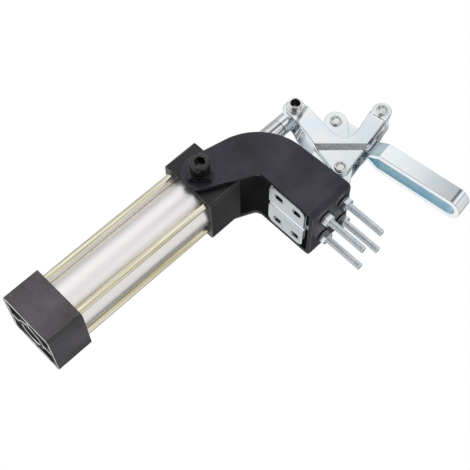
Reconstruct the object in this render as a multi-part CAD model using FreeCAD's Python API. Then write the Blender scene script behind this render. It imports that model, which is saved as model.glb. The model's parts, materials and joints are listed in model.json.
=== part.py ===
import FreeCAD, Part
import math
import os

from FreeCAD import Vector

# A pneumatic power clamp: a toggle hold-down clamp whose handle is replaced by a bell crank,
# driven by a tie-rod air cylinder that swings on a trunnion in a bent-sheet yoke.
# Millimetres. X points forward to the U-bar, Y to the far side, Z up along the cylinder.
# The origin is the middle of the base's four slots, on the underside of the base.
# Pieces are drawn on the far side, at +Y, and mirrored where both sides have one.

# Pivots in the side plane, as (x, z)
CYLINDER_X = -63.5
TRUNNION = (CYLINDER_X, -31.5)
ROD_PIN = (CYLINDER_X, 74.5)
ARM_PIVOT = (-31.5, 89.5)
LINK_PIVOT = (-10.6, 122.2)
CRANK_PIVOT = (2.5, 57.7)

# Clearances: running for a pin in its hole, side between layers, fit for pieces set into others
RUNNING = 0.05
SIDE = 0.3
FIT = 0.05

# How far a cutter runs past a face, and how near two places are taken as one
OVER = 1.0
NEAR = 1e-6

# Cylinder
CAP_MARGIN = 7.2
CAP_EDGE = 1.5
FRONT_CAP_LENGTH = 31.3
REAR_CAP_LENGTH = 32.4
TRUNNION_TO_FRONT = 17.4
BARREL_VISIBLE = 127.7
BARREL_SEAT = 4.0
BORE_R = 20.0
BARREL_WALL = 2.5
SPIGOT_LENGTH = 6.0
TIE_ROD_R = 3.0
TIE_ROD_GAP = 1.087
TIE_ROD_GRIP = 22.0
PORT_R = 5.9
PORT_DEPTH = 12.0
PORT_TO_INNER_FACE = 15.4
PASSAGE_R = 2.0
CORE_WALL = 3.0
CORE_DEPTH = 9.5
CORE_CORNER_R = 4.0
CORE_RING_R = 14.0
CORE_RING_BORE_R = 9.5
CORE_RIB = 3.0
NUT_POCKET_EASE = 0.25
TIE_ROD_SPARE = 1.0
ROD_CLEAR = 0.2

# Piston and rod
ROD_R = 8.0
PISTON_LENGTH = 28.0
PISTON_STOP_GAP = 3.0
ROD_SPIGOT_R = 5.0
ROD_THREAD_LENGTH = 10.0
ROD_THREAD_SPARE = 0.5
PISTON_NUT_FLATS = 17.0
PISTON_NUT = 8.0
PISTON_NUT_GRIP = 9.0
BUSH_WALL = 4.0
BUSH_LENGTH = 14.0
SEAL_LENGTH = 6.0
WIPER_LIP = 3.0
WIPER_LIP_WALL = 1.2
RING_SECTION = 3.0

# Rod eye and its pin
EYE_R = 10.0
EYE_HALF = 8.0
EYE_EDGE = 0.8
EYE_TO_SHOULDER = 18.0
ROD_PIN_R = 5.3
ROD_PIN_BORE_R = 4.1
ROD_PIN_REACH = 17.0
PIN_COLLAR_R = 6.8
PIN_COLLAR = 1.5

# Yoke bracket, one bent sheet
YOKE_SHEET = 4.0
YOKE_SIDE_GAP = 1.0
YOKE_BEND_R = 5.0
YOKE_FRONT_X = 26.0
YOKE_EAR_R = 15.6
YOKE_TOP_FRONT_Z = 42.5
YOKE_OUTER_CORNER = (-62.9, 38.8)
YOKE_OUTER_R = 49.0
YOKE_INNER_CORNER = (-31.5, 0.3)
YOKE_INNER_R = 8.0

# Trunnion screws, bushes and washers
TRUNNION_SCREW_R = 5.0
TRUNNION_SCREW_DEPTH = 12.0
TRUNNION_SCREW_SPARE = 1.0
SCREW_HEAD_R = 8.0
SCREW_HEAD = 10.0
SCREW_EDGE = 0.8
SCREW_SOCKET_R = 4.6
SCREW_SOCKET_DEPTH = 5.0
BUSH_R = 6.5
FLAT_WASHER_R = 10.2
FLAT_WASHER = 1.8
TAB_WASHER_R = 9.2
TAB_WASHER = 2.2
TAB_REACH = 3.0
TAB_WIDTH = 3.4

# Base, two stamped halves back to back
BASE_SHEET = 3.0
BASE_REAR_X = -20.0
BASE_FRONT_X = 17.5
BASE_HALF_WIDTH = 26.0
BASE_CORNER_R = 6.0
BASE_BEND_R = 4.5
SLOT_PITCH_X = 19.0
SLOT_PITCH_Y = 34.0
SLOT_LENGTH = 9.0
SLOT_WIDTH = 6.5
FRONT_FLANGE_HALF = 23.0
FRONT_FLANGE_TOP = 41.0
JOGGLE_LOW_Z = 41.5
JOGGLE_HIGH_Z = 48.5
JOGGLE_OUTER_DROP = 1.0
WEB_REAR_TOP_Z = 46.0
WEB_SHOULDER = (18.2, 51.5)
WEB_CORNER_R = 3.0
WEB_ARM_BOSS_R = 9.5
WEB_CRANK_BOSS_R = 9.8

# Mounting bolts through the base's front flanges and the yoke
BOLT_R = 3.0
BOLT_SHANK_R = 2.68
BOLT_PITCH_Y = 28.0
BOLT_PITCH_Z = 20.5
BOLT_MID_Z = 25.1
BOLT_REACH_X = 66.0
BOLT_HEAD = 4.0
BOLT_TIP = 0.7
HEX_FLATS = 10.0
NUT = 4.9
NUT_COUNTERSINK = 0.5
NUT_WASHER = 1.0
NUT_WASHER_R = 6.0

# Bell crank, a pair of joggled plates
CRANK_SHEET = 3.0
CRANK_RAISE = 3.0
CRANK_ROD_BOSS_R = 7.6
CRANK_LINK_BOSS_R = 7.8
CRANK_PIVOT_BOSS_R = 6.7
CRANK_NOTCH = (-5.8, 73.3)
CRANK_NOTCH_R = 12.0
JOGGLE_AT_ROD = ((-53.8, 77.6), (-49.5, 63.2))
JOGGLE_AT_LINK = ((-1.5, 113.2), (-16.0, 110.9))
JOGGLE_AT_PIVOT = ((-26.6, 58.9), (2.6, 88.4))
JOGGLE_RUN = 3.5
JOGGLE_RUN_AT_PIVOT = 6.2

# Links and arm
LINK_SHEET = 3.0
LINK_R = 7.5
SPACER_WALL = 2.4
ARM_RISE = 6.8
ARM_HEIGHT = 15.0
ARM_STRIP = 4.8
ARM_REAR_HALF = 5.0
U_HALF = 10.8
U_JOG_START = 38.5
U_JOG_END = 48.0
U_LENGTH = 125.2

# Rivets
RIVET_R = 3.0
ARM_RIVET_R = 4.0
RIVET_HEAD_R = 5.2
LINK_FOOT_HEAD_R = 4.6
RIVET_HEAD = 2.0
RIVET_EDGE = 1.0
RIVET_DIMPLE_SHARE = 0.65
RIVET_DIMPLE = 1.2

# The cylinder's width follows from its bore: barrel, tie rods round it, caps round them
BARREL_R = BORE_R + BARREL_WALL
TIE_ROD_PITCH = (BARREL_R + TIE_ROD_GAP + TIE_ROD_R) * math.sqrt(2.0)
CAP_SIDE = TIE_ROD_PITCH + 2 * CAP_MARGIN
YOKE_HALF_GAP = CAP_SIDE / 2 + YOKE_SIDE_GAP

# Levels of the layers, as distances from the middle plane
LINK_IN = ARM_REAR_HALF + SIDE
LINK_OUT = LINK_IN + LINK_SHEET
WEB_IN = ARM_REAR_HALF + SIDE
WEB_OUT = WEB_IN + BASE_SHEET
CRANK_IN = max(WEB_OUT, LINK_OUT) + SIDE
CRANK_OUT = CRANK_IN + CRANK_SHEET
YOKE_OUT = YOKE_HALF_GAP + YOKE_SHEET

# Levels along the cylinder
FRONT_CAP_TOP = TRUNNION[1] + TRUNNION_TO_FRONT
FRONT_CAP_LOW = FRONT_CAP_TOP - FRONT_CAP_LENGTH
REAR_CAP_TOP = FRONT_CAP_LOW - BARREL_VISIBLE
REAR_CAP_LOW = REAR_CAP_TOP - REAR_CAP_LENGTH
PISTON_TOP = FRONT_CAP_LOW - SPIGOT_LENGTH - PISTON_STOP_GAP
PISTON_LOW = PISTON_TOP - PISTON_LENGTH
ROD_SHOULDER = ROD_PIN[1] - EYE_TO_SHOULDER
MIDDLE = Vector(0, 0, 0)
ACROSS = Vector(0, 1, 0)
UP = Vector(0, 0, 1)
FORWARD = Vector(1, 0, 0)


# Vectors and outlines in the side plane

def side(place, y=0.0):
    return Vector(place[0], y, place[1])


def direction(start, end):
    dx = end[0] - start[0]
    dz = end[1] - start[1]
    length = math.hypot(dx, dz)
    return (dx / length, dz / length)


def touch_from_point(point, centre, radius, hand):
    """Where the tangent from a point touches a circle; hand +1 is left of the way there."""
    ux, uz = direction(point, centre)
    distance = math.hypot(centre[0] - point[0], centre[1] - point[1])
    run = math.sqrt(distance ** 2 - radius ** 2)
    sine = hand * radius / distance
    cosine = run / distance
    tx = ux * cosine - uz * sine
    tz = ux * sine + uz * cosine
    return (point[0] + tx * run, point[1] + tz * run)


def touch_pair(centre_a, radius_a, centre_b, radius_b, hand):
    """Where the common tangent of two circles touches them; hand +1 is left of the way from a to b."""
    ux, uz = direction(centre_a, centre_b)
    distance = math.hypot(centre_b[0] - centre_a[0], centre_b[1] - centre_a[1])
    along = (radius_a - radius_b) / distance
    across = hand * math.sqrt(1.0 - along ** 2)
    nx = ux * along - uz * across
    nz = uz * along + ux * across
    first = (centre_a[0] + nx * radius_a, centre_a[1] + nz * radius_a)
    second = (centre_b[0] + nx * radius_b, centre_b[1] + nz * radius_b)
    return first, second


def meet(line_a, line_b):
    """Where two lines, each a pair of points, cross."""
    ax, az = direction(*line_a)
    bx, bz = direction(*line_b)
    wx = line_b[0][0] - line_a[0][0]
    wz = line_b[0][1] - line_a[0][1]
    run = (wx * bz - wz * bx) / (ax * bz - az * bx)
    return (line_a[0][0] + ax * run, line_a[0][1] + az * run)


def shifted(line, distance):
    """A line moved to the right of its own direction."""
    ux, uz = direction(*line)
    return tuple((p[0] + uz * distance, p[1] - ux * distance) for p in line)


def rounded_wire(corners, lift):
    """A closed outline of corners (a, b, radius), with lift turning (a, b) into a vector."""
    edges = []
    ends = []
    count = len(corners)
    for i in range(count):
        here = lift(corners[i][0], corners[i][1])
        before = lift(*corners[i - 1][:2])
        after = lift(*corners[(i + 1) % count][:2])
        radius = corners[i][2]
        if radius == 0:
            ends.append((here, here))
            continue
        back = (before - here).normalize()
        on = (after - here).normalize()
        half = back.getAngle(on) / 2.0
        run = radius / math.tan(half)
        start = here + back * run
        end = here + on * run
        bisector = (back + on).normalize()
        middle = here + bisector * (radius / math.sin(half) - radius)
        ends.append((start, end))
        edges.append(Part.Arc(start, middle, end).toShape())
    for i in range(count):
        start = ends[i - 1][1]
        end = ends[i][0]
        if start.distanceToPoint(end) > NEAR:
            edges.append(Part.LineSegment(start, end).toShape())
    return Part.Wire(Part.__sortEdges__(edges))


def side_prism(corners, y_in, y_out):
    """A prism across the side plane, from corners (x, z, radius)."""
    wire = rounded_wire(corners, lambda a, b: Vector(a, y_in, b))
    return Part.Face(wire).extrude(ACROSS * (y_out - y_in))


def plan_prism(corners, z_low, z_high):
    """An upright prism from corners (x, y, radius)."""
    wire = rounded_wire(corners, lambda a, b: Vector(a, b, z_low))
    return Part.Face(wire).extrude(UP * (z_high - z_low))


def front_prism(corners, x_low, x_high):
    """A prism along X from corners (y, z, radius)."""
    wire = rounded_wire(corners, lambda a, b: Vector(x_low, a, b))
    return Part.Face(wire).extrude(FORWARD * (x_high - x_low))


# Round pieces

def cross_rod(radius, place, y_in, y_out):
    return Part.makeCylinder(radius, y_out - y_in, side(place, y_in), ACROSS)


def cross_tube(radius, bore, place, y_in, y_out):
    return cross_rod(radius, place, y_in, y_out).cut(cross_rod(bore, place, y_in, y_out))


def upright_rod(radius, z_low, z_high, x=CYLINDER_X, y=0.0):
    return Part.makeCylinder(radius, z_high - z_low, Vector(x, y, z_low), UP)


def upright_tube(radius, bore, z_low, z_high, x=CYLINDER_X, y=0.0):
    return upright_rod(radius, z_low, z_high, x, y).cut(upright_rod(bore, z_low, z_high, x, y))


def hexagon(flats, height, base, axis, reference):
    """A hexagonal prism from its base's middle, with one corner along reference."""
    corner = flats / math.sqrt(3.0)
    other = axis.cross(reference)
    points = []
    for i in range(7):
        turn = math.radians(60.0 * i)
        points.append(base + reference * (corner * math.cos(turn)) + other * (corner * math.sin(turn)))
    return Part.Face(Part.makePolygon(points)).extrude(axis * height)


# Pairs, groups and files

def mirrored(shape):
    return shape.mirror(MIDDLE, ACROSS)


def pair(shape):
    return Part.Compound([shape, mirrored(shape)])


def four_corners(make, pitch_a, pitch_b):
    return [make(sa * pitch_a / 2.0, sb * pitch_b / 2.0) for sa in (-1, 1) for sb in (-1, 1)]


def save(name, shape):
    shape.exportStep(os.path.join("parts", name + ".step"))


# Air cylinder

def cap_block(z_low, z_high):
    block = Part.makeBox(
        CAP_SIDE, CAP_SIDE, z_high - z_low, Vector(CYLINDER_X - CAP_SIDE / 2, -CAP_SIDE / 2, z_low)
    )
    uprights = [e for e in block.Edges if abs(e.tangentAt(e.FirstParameter).z) > 0.9]
    return block.makeChamfer(CAP_EDGE, uprights)


def barrel_groove(z_face, towards):
    """The ring groove that the barrel's end sits in, cut from a cap's inner face."""
    z_low = min(z_face, z_face + towards * (BARREL_SEAT + FIT))
    z_high = max(z_face, z_face + towards * (BARREL_SEAT + FIT))
    return upright_tube(BARREL_R + FIT, BORE_R - FIT, z_low, z_high)


def spigot(z_face, towards):
    """The round land that centres the barrel, with the groove of its seal ring."""
    z_end = z_face + towards * SPIGOT_LENGTH
    land = upright_rod(BORE_R - FIT, min(z_face, z_end), max(z_face, z_end))
    z_ring = z_face + towards * SPIGOT_LENGTH / 2
    return land.cut(seal_ring(z_ring, FIT))


def seal_ring(z_middle, ease=0.0):
    return upright_tube(
        BORE_R, BORE_R - RING_SECTION + FIT - ease,
        z_middle - RING_SECTION / 2 - ease, z_middle + RING_SECTION / 2 + ease,
    )


def port(z_middle, z_inner_face):
    """A tapped air port on the rear side, with the passage from it to the barrel."""
    x_mouth = CYLINDER_X - CAP_SIDE / 2
    mouth = Part.makeCylinder(PORT_R, PORT_DEPTH, Vector(x_mouth, 0, z_middle), FORWARD)
    x_passage = x_mouth + PORT_DEPTH - PASSAGE_R
    low = min(z_middle, z_inner_face)
    high = max(z_middle, z_inner_face)
    return mouth.fuse(upright_rod(PASSAGE_R, low, high, x_passage))


def tie_rod_holes(z_low, z_high):
    return four_corners(
        lambda dx, y: upright_rod(TIE_ROD_R + FIT, z_low, z_high, CYLINDER_X + dx, y),
        TIE_ROD_PITCH, TIE_ROD_PITCH,
    )


def front_cap():
    cap = cap_block(FRONT_CAP_LOW, FRONT_CAP_TOP)
    cap = cap.cut(barrel_groove(FRONT_CAP_LOW, 1))
    cap = cap.fuse(spigot(FRONT_CAP_LOW, -1))
    bush_seat = FRONT_CAP_TOP - BUSH_LENGTH - SEAL_LENGTH
    cuts = [
        upright_rod(ROD_R + ROD_CLEAR, FRONT_CAP_LOW - SPIGOT_LENGTH, FRONT_CAP_TOP),
        upright_rod(ROD_R + BUSH_WALL + FIT, bush_seat, FRONT_CAP_TOP),
        port(FRONT_CAP_LOW + PORT_TO_INNER_FACE, FRONT_CAP_LOW - SPIGOT_LENGTH),
    ]
    cuts += tie_rod_holes(FRONT_CAP_LOW, FRONT_CAP_LOW + TIE_ROD_GRIP)
    screw_in = CAP_SIDE / 2 - TRUNNION_SCREW_DEPTH - TRUNNION_SCREW_SPARE
    screw_hole = cross_rod(TRUNNION_SCREW_R + FIT, TRUNNION, screw_in, CAP_SIDE / 2)
    cuts += [screw_hole, mirrored(screw_hole)]
    return cap.cut(cuts)


def rear_core():
    """The hollow of the rear cap's end face, round a ring boss held by four ribs."""
    wide = CAP_SIDE / 2 - CORE_WALL
    around = ((-1, -1), (1, -1), (1, 1), (-1, 1))
    corners = [(CYLINDER_X + sx * wide, sy * wide, CORE_CORNER_R) for sx, sy in around]
    z_floor = REAR_CAP_LOW + CORE_DEPTH
    hollow = plan_prism(corners, REAR_CAP_LOW, z_floor)
    rib_along = Part.makeBox(
        CAP_SIDE, CORE_RIB, CORE_DEPTH, Vector(CYLINDER_X - CAP_SIDE / 2, -CORE_RIB / 2, REAR_CAP_LOW)
    )
    rib_across = Part.makeBox(
        CORE_RIB, CAP_SIDE, CORE_DEPTH, Vector(CYLINDER_X - CORE_RIB / 2, -CAP_SIDE / 2, REAR_CAP_LOW)
    )
    hollow = hollow.cut([rib_along, rib_across, upright_rod(CORE_RING_R, REAR_CAP_LOW, z_floor)])
    pocket_r = HEX_FLATS / math.sqrt(3.0) + NUT_POCKET_EASE
    pockets = four_corners(
        lambda dx, y: upright_rod(pocket_r, REAR_CAP_LOW, z_floor, CYLINDER_X + dx, y),
        TIE_ROD_PITCH, TIE_ROD_PITCH,
    )
    return hollow.fuse(pockets + [upright_rod(CORE_RING_BORE_R, REAR_CAP_LOW, z_floor)])


def rear_cap():
    cap = cap_block(REAR_CAP_LOW, REAR_CAP_TOP)
    cap = cap.cut(barrel_groove(REAR_CAP_TOP, -1))
    cap = cap.fuse(spigot(REAR_CAP_TOP, 1))
    cuts = [rear_core(), port(REAR_CAP_TOP - PORT_TO_INNER_FACE, REAR_CAP_TOP + SPIGOT_LENGTH)]
    cuts += tie_rod_holes(REAR_CAP_LOW, REAR_CAP_TOP)
    return cap.cut(cuts)


def barrel():
    return upright_tube(
        BARREL_R, BORE_R, REAR_CAP_TOP - BARREL_SEAT, FRONT_CAP_LOW + BARREL_SEAT
    )


def barrel_seals():
    return Part.Compound([
        seal_ring(FRONT_CAP_LOW - SPIGOT_LENGTH / 2),
        seal_ring(REAR_CAP_TOP + SPIGOT_LENGTH / 2),
    ])


def tie_rods():
    z_low = REAR_CAP_LOW + CORE_DEPTH - NUT_WASHER - NUT - TIE_ROD_SPARE
    z_high = FRONT_CAP_LOW + TIE_ROD_GRIP - TIE_ROD_SPARE
    rods = four_corners(
        lambda dx, y: upright_rod(TIE_ROD_R, z_low, z_high, CYLINDER_X + dx, y),
        TIE_ROD_PITCH, TIE_ROD_PITCH,
    )
    return Part.Compound(rods)


def tie_rod_nut(dx, y):
    z_seat = REAR_CAP_LOW + CORE_DEPTH
    x = CYLINDER_X + dx
    z_low = z_seat - NUT_WASHER - NUT
    washer = upright_rod(HEX_FLATS / 2, z_seat - NUT_WASHER, z_seat, x, y)
    nut = hexagon(HEX_FLATS, NUT, Vector(x, y, z_low), UP, FORWARD)
    return washer.fuse(nut).cut(upright_rod(TIE_ROD_R + FIT, z_low, z_seat, x, y))


def tie_rod_nuts():
    return Part.Compound(four_corners(tie_rod_nut, TIE_ROD_PITCH, TIE_ROD_PITCH))


def rod_bush():
    z_low = FRONT_CAP_TOP - SEAL_LENGTH - BUSH_LENGTH
    return upright_tube(ROD_R + BUSH_WALL, ROD_R + RUNNING, z_low, z_low + BUSH_LENGTH)


def rod_seal():
    """The wiper, with a lip that stands above the cap round the rod."""
    z_low = FRONT_CAP_TOP - SEAL_LENGTH
    body = upright_rod(ROD_R + BUSH_WALL, z_low, FRONT_CAP_TOP)
    foot = Vector(CYLINDER_X, 0, FRONT_CAP_TOP)
    lip = Part.makeCone(ROD_R + BUSH_WALL, ROD_R + WIPER_LIP_WALL, WIPER_LIP, foot, UP)
    return body.fuse(lip).cut(upright_rod(ROD_R + RUNNING, z_low, FRONT_CAP_TOP + WIPER_LIP))


# Trunnion

def trunnion_bush():
    return cross_tube(BUSH_R, TRUNNION_SCREW_R + FIT, TRUNNION, CAP_SIDE / 2, YOKE_OUT + SIDE)


def flat_washer():
    y_in = YOKE_OUT + SIDE
    return cross_tube(FLAT_WASHER_R, TRUNNION_SCREW_R + FIT, TRUNNION, y_in, y_in + FLAT_WASHER)


def tab_washer():
    """A lock washer with two tabs, one forward and one down."""
    y_in = YOKE_OUT + SIDE + FLAT_WASHER
    washer = cross_rod(TAB_WASHER_R, TRUNNION, y_in, y_in + TAB_WASHER)
    reach = TAB_WASHER_R + TAB_REACH
    forward_tab = Part.makeBox(
        reach, TAB_WASHER, TAB_WIDTH, Vector(TRUNNION[0], y_in, TRUNNION[1] - TAB_WIDTH / 2)
    )
    down_tab = Part.makeBox(
        TAB_WIDTH, TAB_WASHER, reach, Vector(TRUNNION[0] - TAB_WIDTH / 2, y_in, TRUNNION[1] - reach)
    )
    washer = washer.fuse([forward_tab, down_tab]).removeSplitter()
    return washer.cut(cross_rod(TRUNNION_SCREW_R + FIT, TRUNNION, y_in, y_in + TAB_WASHER))


def trunnion_screw():
    """A socket head screw from the cap's tapped hole to the head outside the washers."""
    y_seat = YOKE_OUT + SIDE + FLAT_WASHER + TAB_WASHER
    y_tip = CAP_SIDE / 2 - TRUNNION_SCREW_DEPTH
    head = cross_rod(SCREW_HEAD_R, TRUNNION, y_seat, y_seat + SCREW_HEAD)
    rim = [e for e in head.Edges if abs(e.CenterOfMass.y - y_seat - SCREW_HEAD) < NEAR]
    head = head.makeChamfer(SCREW_EDGE, rim)
    screw = head.fuse(cross_rod(TRUNNION_SCREW_R, TRUNNION, y_tip, y_seat))
    socket_y = y_seat + SCREW_HEAD - SCREW_SOCKET_DEPTH
    socket = hexagon(
        SCREW_SOCKET_R * math.sqrt(3.0), SCREW_SOCKET_DEPTH, side(TRUNNION, socket_y), ACROSS, UP
    )
    return screw.cut(socket)


# Piston and rod

def piston_bands():
    """Heights of the two seal rings and the guide ring on the piston."""
    step = PISTON_LENGTH / 4
    return PISTON_LOW + step, PISTON_LOW + 3 * step, PISTON_LOW + 2 * step


def piston():
    body = upright_rod(BORE_R - SIDE, PISTON_LOW, PISTON_TOP)
    cuts = [seal_groove(z) for z in piston_bands()]
    cuts.append(upright_rod(ROD_SPIGOT_R + FIT, PISTON_LOW, PISTON_TOP))
    return body.cut(cuts)


def seal_groove(z_middle):
    inner = BORE_R - RING_SECTION
    return upright_tube(
        BORE_R + OVER, inner, z_middle - RING_SECTION / 2 - FIT, z_middle + RING_SECTION / 2 + FIT
    )


def piston_ring(z_middle):
    return upright_tube(
        BORE_R - RUNNING, BORE_R - RING_SECTION + FIT,
        z_middle - RING_SECTION / 2, z_middle + RING_SECTION / 2,
    )


def piston_nut():
    z_low = PISTON_LOW - PISTON_NUT
    nut = hexagon(PISTON_NUT_FLATS, PISTON_NUT, Vector(CYLINDER_X, 0, z_low), UP, FORWARD)
    return nut.cut(upright_rod(ROD_SPIGOT_R + FIT, z_low, PISTON_LOW))


def piston_rod():
    rod = upright_rod(ROD_R, PISTON_TOP, ROD_SHOULDER)
    spigot_low = upright_rod(ROD_SPIGOT_R, PISTON_LOW - PISTON_NUT_GRIP, PISTON_TOP)
    thread = upright_rod(ROD_SPIGOT_R, ROD_SHOULDER, ROD_SHOULDER + ROD_THREAD_LENGTH)
    return rod.fuse([spigot_low, thread]).removeSplitter()


def rod_eye():
    eye = cross_rod(EYE_R, ROD_PIN, -EYE_HALF, EYE_HALF)
    eye = eye.makeChamfer(EYE_EDGE, [e for e in eye.Edges if e.Closed])
    neck = upright_rod(ROD_R, ROD_SHOULDER, ROD_PIN[1])
    eye = eye.fuse(neck)
    eye = eye.cut(cross_rod(ROD_PIN_R + FIT, ROD_PIN, -EYE_HALF - OVER, EYE_HALF + OVER))
    thread_end = ROD_SHOULDER + ROD_THREAD_LENGTH + ROD_THREAD_SPARE
    return eye.cut(upright_rod(ROD_SPIGOT_R + FIT, ROD_SHOULDER, thread_end))


def rod_pin_middle():
    return cross_tube(ROD_PIN_R, ROD_PIN_BORE_R, ROD_PIN, -EYE_HALF, EYE_HALF)


# Yoke bracket

def yoke_outline():
    """The arm's side outline: a round ear, a swept neck and a straight front."""
    ear_outer = touch_from_point(YOKE_OUTER_CORNER, TRUNNION, YOKE_EAR_R, -1)
    ear_inner = touch_from_point(YOKE_INNER_CORNER, TRUNNION, YOKE_EAR_R, 1)
    corners = [
        (ear_outer[0], ear_outer[1], 0),
        (YOKE_OUTER_CORNER[0], YOKE_OUTER_CORNER[1], YOKE_OUTER_R),
        (YOKE_FRONT_X, YOKE_TOP_FRONT_Z, 0),
        (YOKE_FRONT_X, YOKE_INNER_CORNER[1], 0),
        (YOKE_INNER_CORNER[0], YOKE_INNER_CORNER[1], YOKE_INNER_R),
        (ear_inner[0], ear_inner[1], 0),
    ]
    width = YOKE_OUT + OVER
    neck = side_prism(corners, -width, width)
    return neck.fuse(cross_rod(YOKE_EAR_R, TRUNNION, -width, width))


def bent_sheet():
    """The yoke's sheet seen from above: two arms joined by the front wall."""
    x_rear = TRUNNION[0] - YOKE_EAR_R - OVER
    inner_r = YOKE_BEND_R - YOKE_SHEET
    inner_x = YOKE_FRONT_X - YOKE_SHEET
    corners = [
        (x_rear, -YOKE_OUT, 0),
        (YOKE_FRONT_X, -YOKE_OUT, YOKE_BEND_R),
        (YOKE_FRONT_X, YOKE_OUT, YOKE_BEND_R),
        (x_rear, YOKE_OUT, 0),
        (x_rear, YOKE_HALF_GAP, 0),
        (inner_x, YOKE_HALF_GAP, inner_r),
        (inner_x, -YOKE_HALF_GAP, inner_r),
        (x_rear, -YOKE_HALF_GAP, 0),
    ]
    return plan_prism(corners, TRUNNION[1] - YOKE_EAR_R - OVER, YOKE_TOP_FRONT_Z + OVER)


def bolt_places():
    return [
        (sy * BOLT_PITCH_Y / 2, BOLT_MID_Z + sz * BOLT_PITCH_Z / 2) for sy in (-1, 1) for sz in (-1, 1)
    ]


def along_bolt(radius, place, x_low, x_high):
    return Part.makeCylinder(radius, x_high - x_low, Vector(x_low, place[0], place[1]), FORWARD)


def yoke_bracket():
    sheet = bent_sheet().common(yoke_outline())
    cuts = [cross_rod(BUSH_R + RUNNING, TRUNNION, -YOKE_OUT - OVER, YOKE_OUT + OVER)]
    inner_x = YOKE_FRONT_X - YOKE_SHEET
    cuts += [along_bolt(BOLT_R + FIT, p, inner_x - OVER, YOKE_FRONT_X + OVER) for p in bolt_places()]
    return sheet.cut(cuts)


# Base

def web_outline(y_in, y_out):
    """The base web's side outline, with a boss at each of its two pivots."""
    rear_top = (BASE_REAR_X, WEB_REAR_TOP_Z)
    arm_rear = touch_from_point(rear_top, ARM_PIVOT, WEB_ARM_BOSS_R, 1)
    arm_front, crank_top = touch_pair(ARM_PIVOT, WEB_ARM_BOSS_R, CRANK_PIVOT, WEB_CRANK_BOSS_R, 1)
    crank_front = touch_from_point(WEB_SHOULDER, CRANK_PIVOT, WEB_CRANK_BOSS_R, -1)
    corners = [
        (BASE_REAR_X, BASE_BEND_R, 0),
        (rear_top[0], rear_top[1], WEB_CORNER_R),
        (arm_rear[0], arm_rear[1], 0),
        (arm_front[0], arm_front[1], 0),
        (crank_top[0], crank_top[1], 0),
        (crank_front[0], crank_front[1], 0),
        (WEB_SHOULDER[0], WEB_SHOULDER[1], WEB_CORNER_R),
        (WEB_SHOULDER[0], BASE_BEND_R, 0),
    ]
    outline = side_prism(corners, y_in, y_out)
    bosses = [
        cross_rod(WEB_ARM_BOSS_R, ARM_PIVOT, y_in, y_out),
        cross_rod(WEB_CRANK_BOSS_R, CRANK_PIVOT, y_in, y_out),
    ]
    return outline.fuse(bosses)


def joggled_web():
    """The web: flat against the other half below, spread above to let the arm in."""
    high = ARM_PIVOT[1] + WEB_ARM_BOSS_R + OVER
    ease = BASE_SHEET
    corners = [
        (0, BASE_BEND_R, 0),
        (0, JOGGLE_LOW_Z, ease),
        (WEB_IN, JOGGLE_HIGH_Z, ease),
        (WEB_IN, high, 0),
        (WEB_OUT, high, 0),
        (WEB_OUT, JOGGLE_HIGH_Z - JOGGLE_OUTER_DROP, ease),
        (BASE_SHEET, JOGGLE_LOW_Z - JOGGLE_OUTER_DROP, ease),
        (BASE_SHEET, BASE_BEND_R, 0),
    ]
    x_low = ARM_PIVOT[0] - WEB_ARM_BOSS_R - OVER
    sheet = front_prism(corners, x_low, WEB_SHOULDER[0])
    return sheet.common(web_outline(-OVER, WEB_OUT + OVER))


def bottom_flange():
    """The flange that stands on the work table, bent out from the web, with its two slots."""
    inner_r = BASE_BEND_R - BASE_SHEET
    corners = [
        (0, 0, BASE_BEND_R),
        (0, BASE_BEND_R, 0),
        (BASE_SHEET, BASE_BEND_R, 0),
        (BASE_SHEET, BASE_SHEET, inner_r),
        (BASE_HALF_WIDTH, BASE_SHEET, 0),
        (BASE_HALF_WIDTH, 0, 0),
    ]
    flange = front_prism(corners, BASE_REAR_X, BASE_FRONT_X)
    rim = [
        (BASE_REAR_X, -OVER, 0),
        (BASE_REAR_X, BASE_HALF_WIDTH, BASE_CORNER_R),
        (BASE_FRONT_X, BASE_HALF_WIDTH, BASE_CORNER_R),
        (BASE_FRONT_X, -OVER, 0),
    ]
    flange = flange.common(plan_prism(rim, -OVER, BASE_BEND_R + OVER))
    return flange.cut([slot(sx * SLOT_PITCH_X / 2) for sx in (-1, 1)])


def slot(x_middle):
    half = SLOT_LENGTH / 2
    y = SLOT_PITCH_Y / 2
    ends = SLOT_WIDTH / 2
    corners = [
        (x_middle - half, y - SLOT_WIDTH / 2, ends),
        (x_middle + half, y - SLOT_WIDTH / 2, ends),
        (x_middle + half, y + SLOT_WIDTH / 2, ends),
        (x_middle - half, y + SLOT_WIDTH / 2, ends),
    ]
    return plan_prism(corners, -OVER, BASE_SHEET + OVER)


def front_flange():
    """The upright flange that the yoke's bolts pull against, bent out from the web's front."""
    x_face = YOKE_FRONT_X - YOKE_SHEET
    x_rear = x_face - BASE_SHEET
    inner_r = BASE_BEND_R - BASE_SHEET
    x_web = WEB_SHOULDER[0] - BASE_BEND_R
    corners = [
        (x_web, 0, 0),
        (x_face, 0, BASE_BEND_R),
        (x_face, FRONT_FLANGE_HALF, 0),
        (x_rear, FRONT_FLANGE_HALF, 0),
        (x_rear, BASE_SHEET, inner_r),
        (x_web, BASE_SHEET, 0),
    ]
    z_low = BASE_BEND_R
    flange = plan_prism(corners, z_low, FRONT_FLANGE_TOP)
    holes = [along_bolt(BOLT_R + FIT, p, x_rear - OVER, x_face + OVER) for p in bolt_places() if p[0] > 0]
    return flange.cut(holes)


def base_half():
    half = joggled_web().fuse([bottom_flange(), front_flange()]).removeSplitter()
    holes = [
        cross_rod(ARM_RIVET_R + FIT, ARM_PIVOT, 0, WEB_OUT + OVER),
        cross_rod(ARM_RIVET_R + FIT, CRANK_PIVOT, 0, WEB_OUT + OVER),
    ]
    return half.cut(holes)


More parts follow.
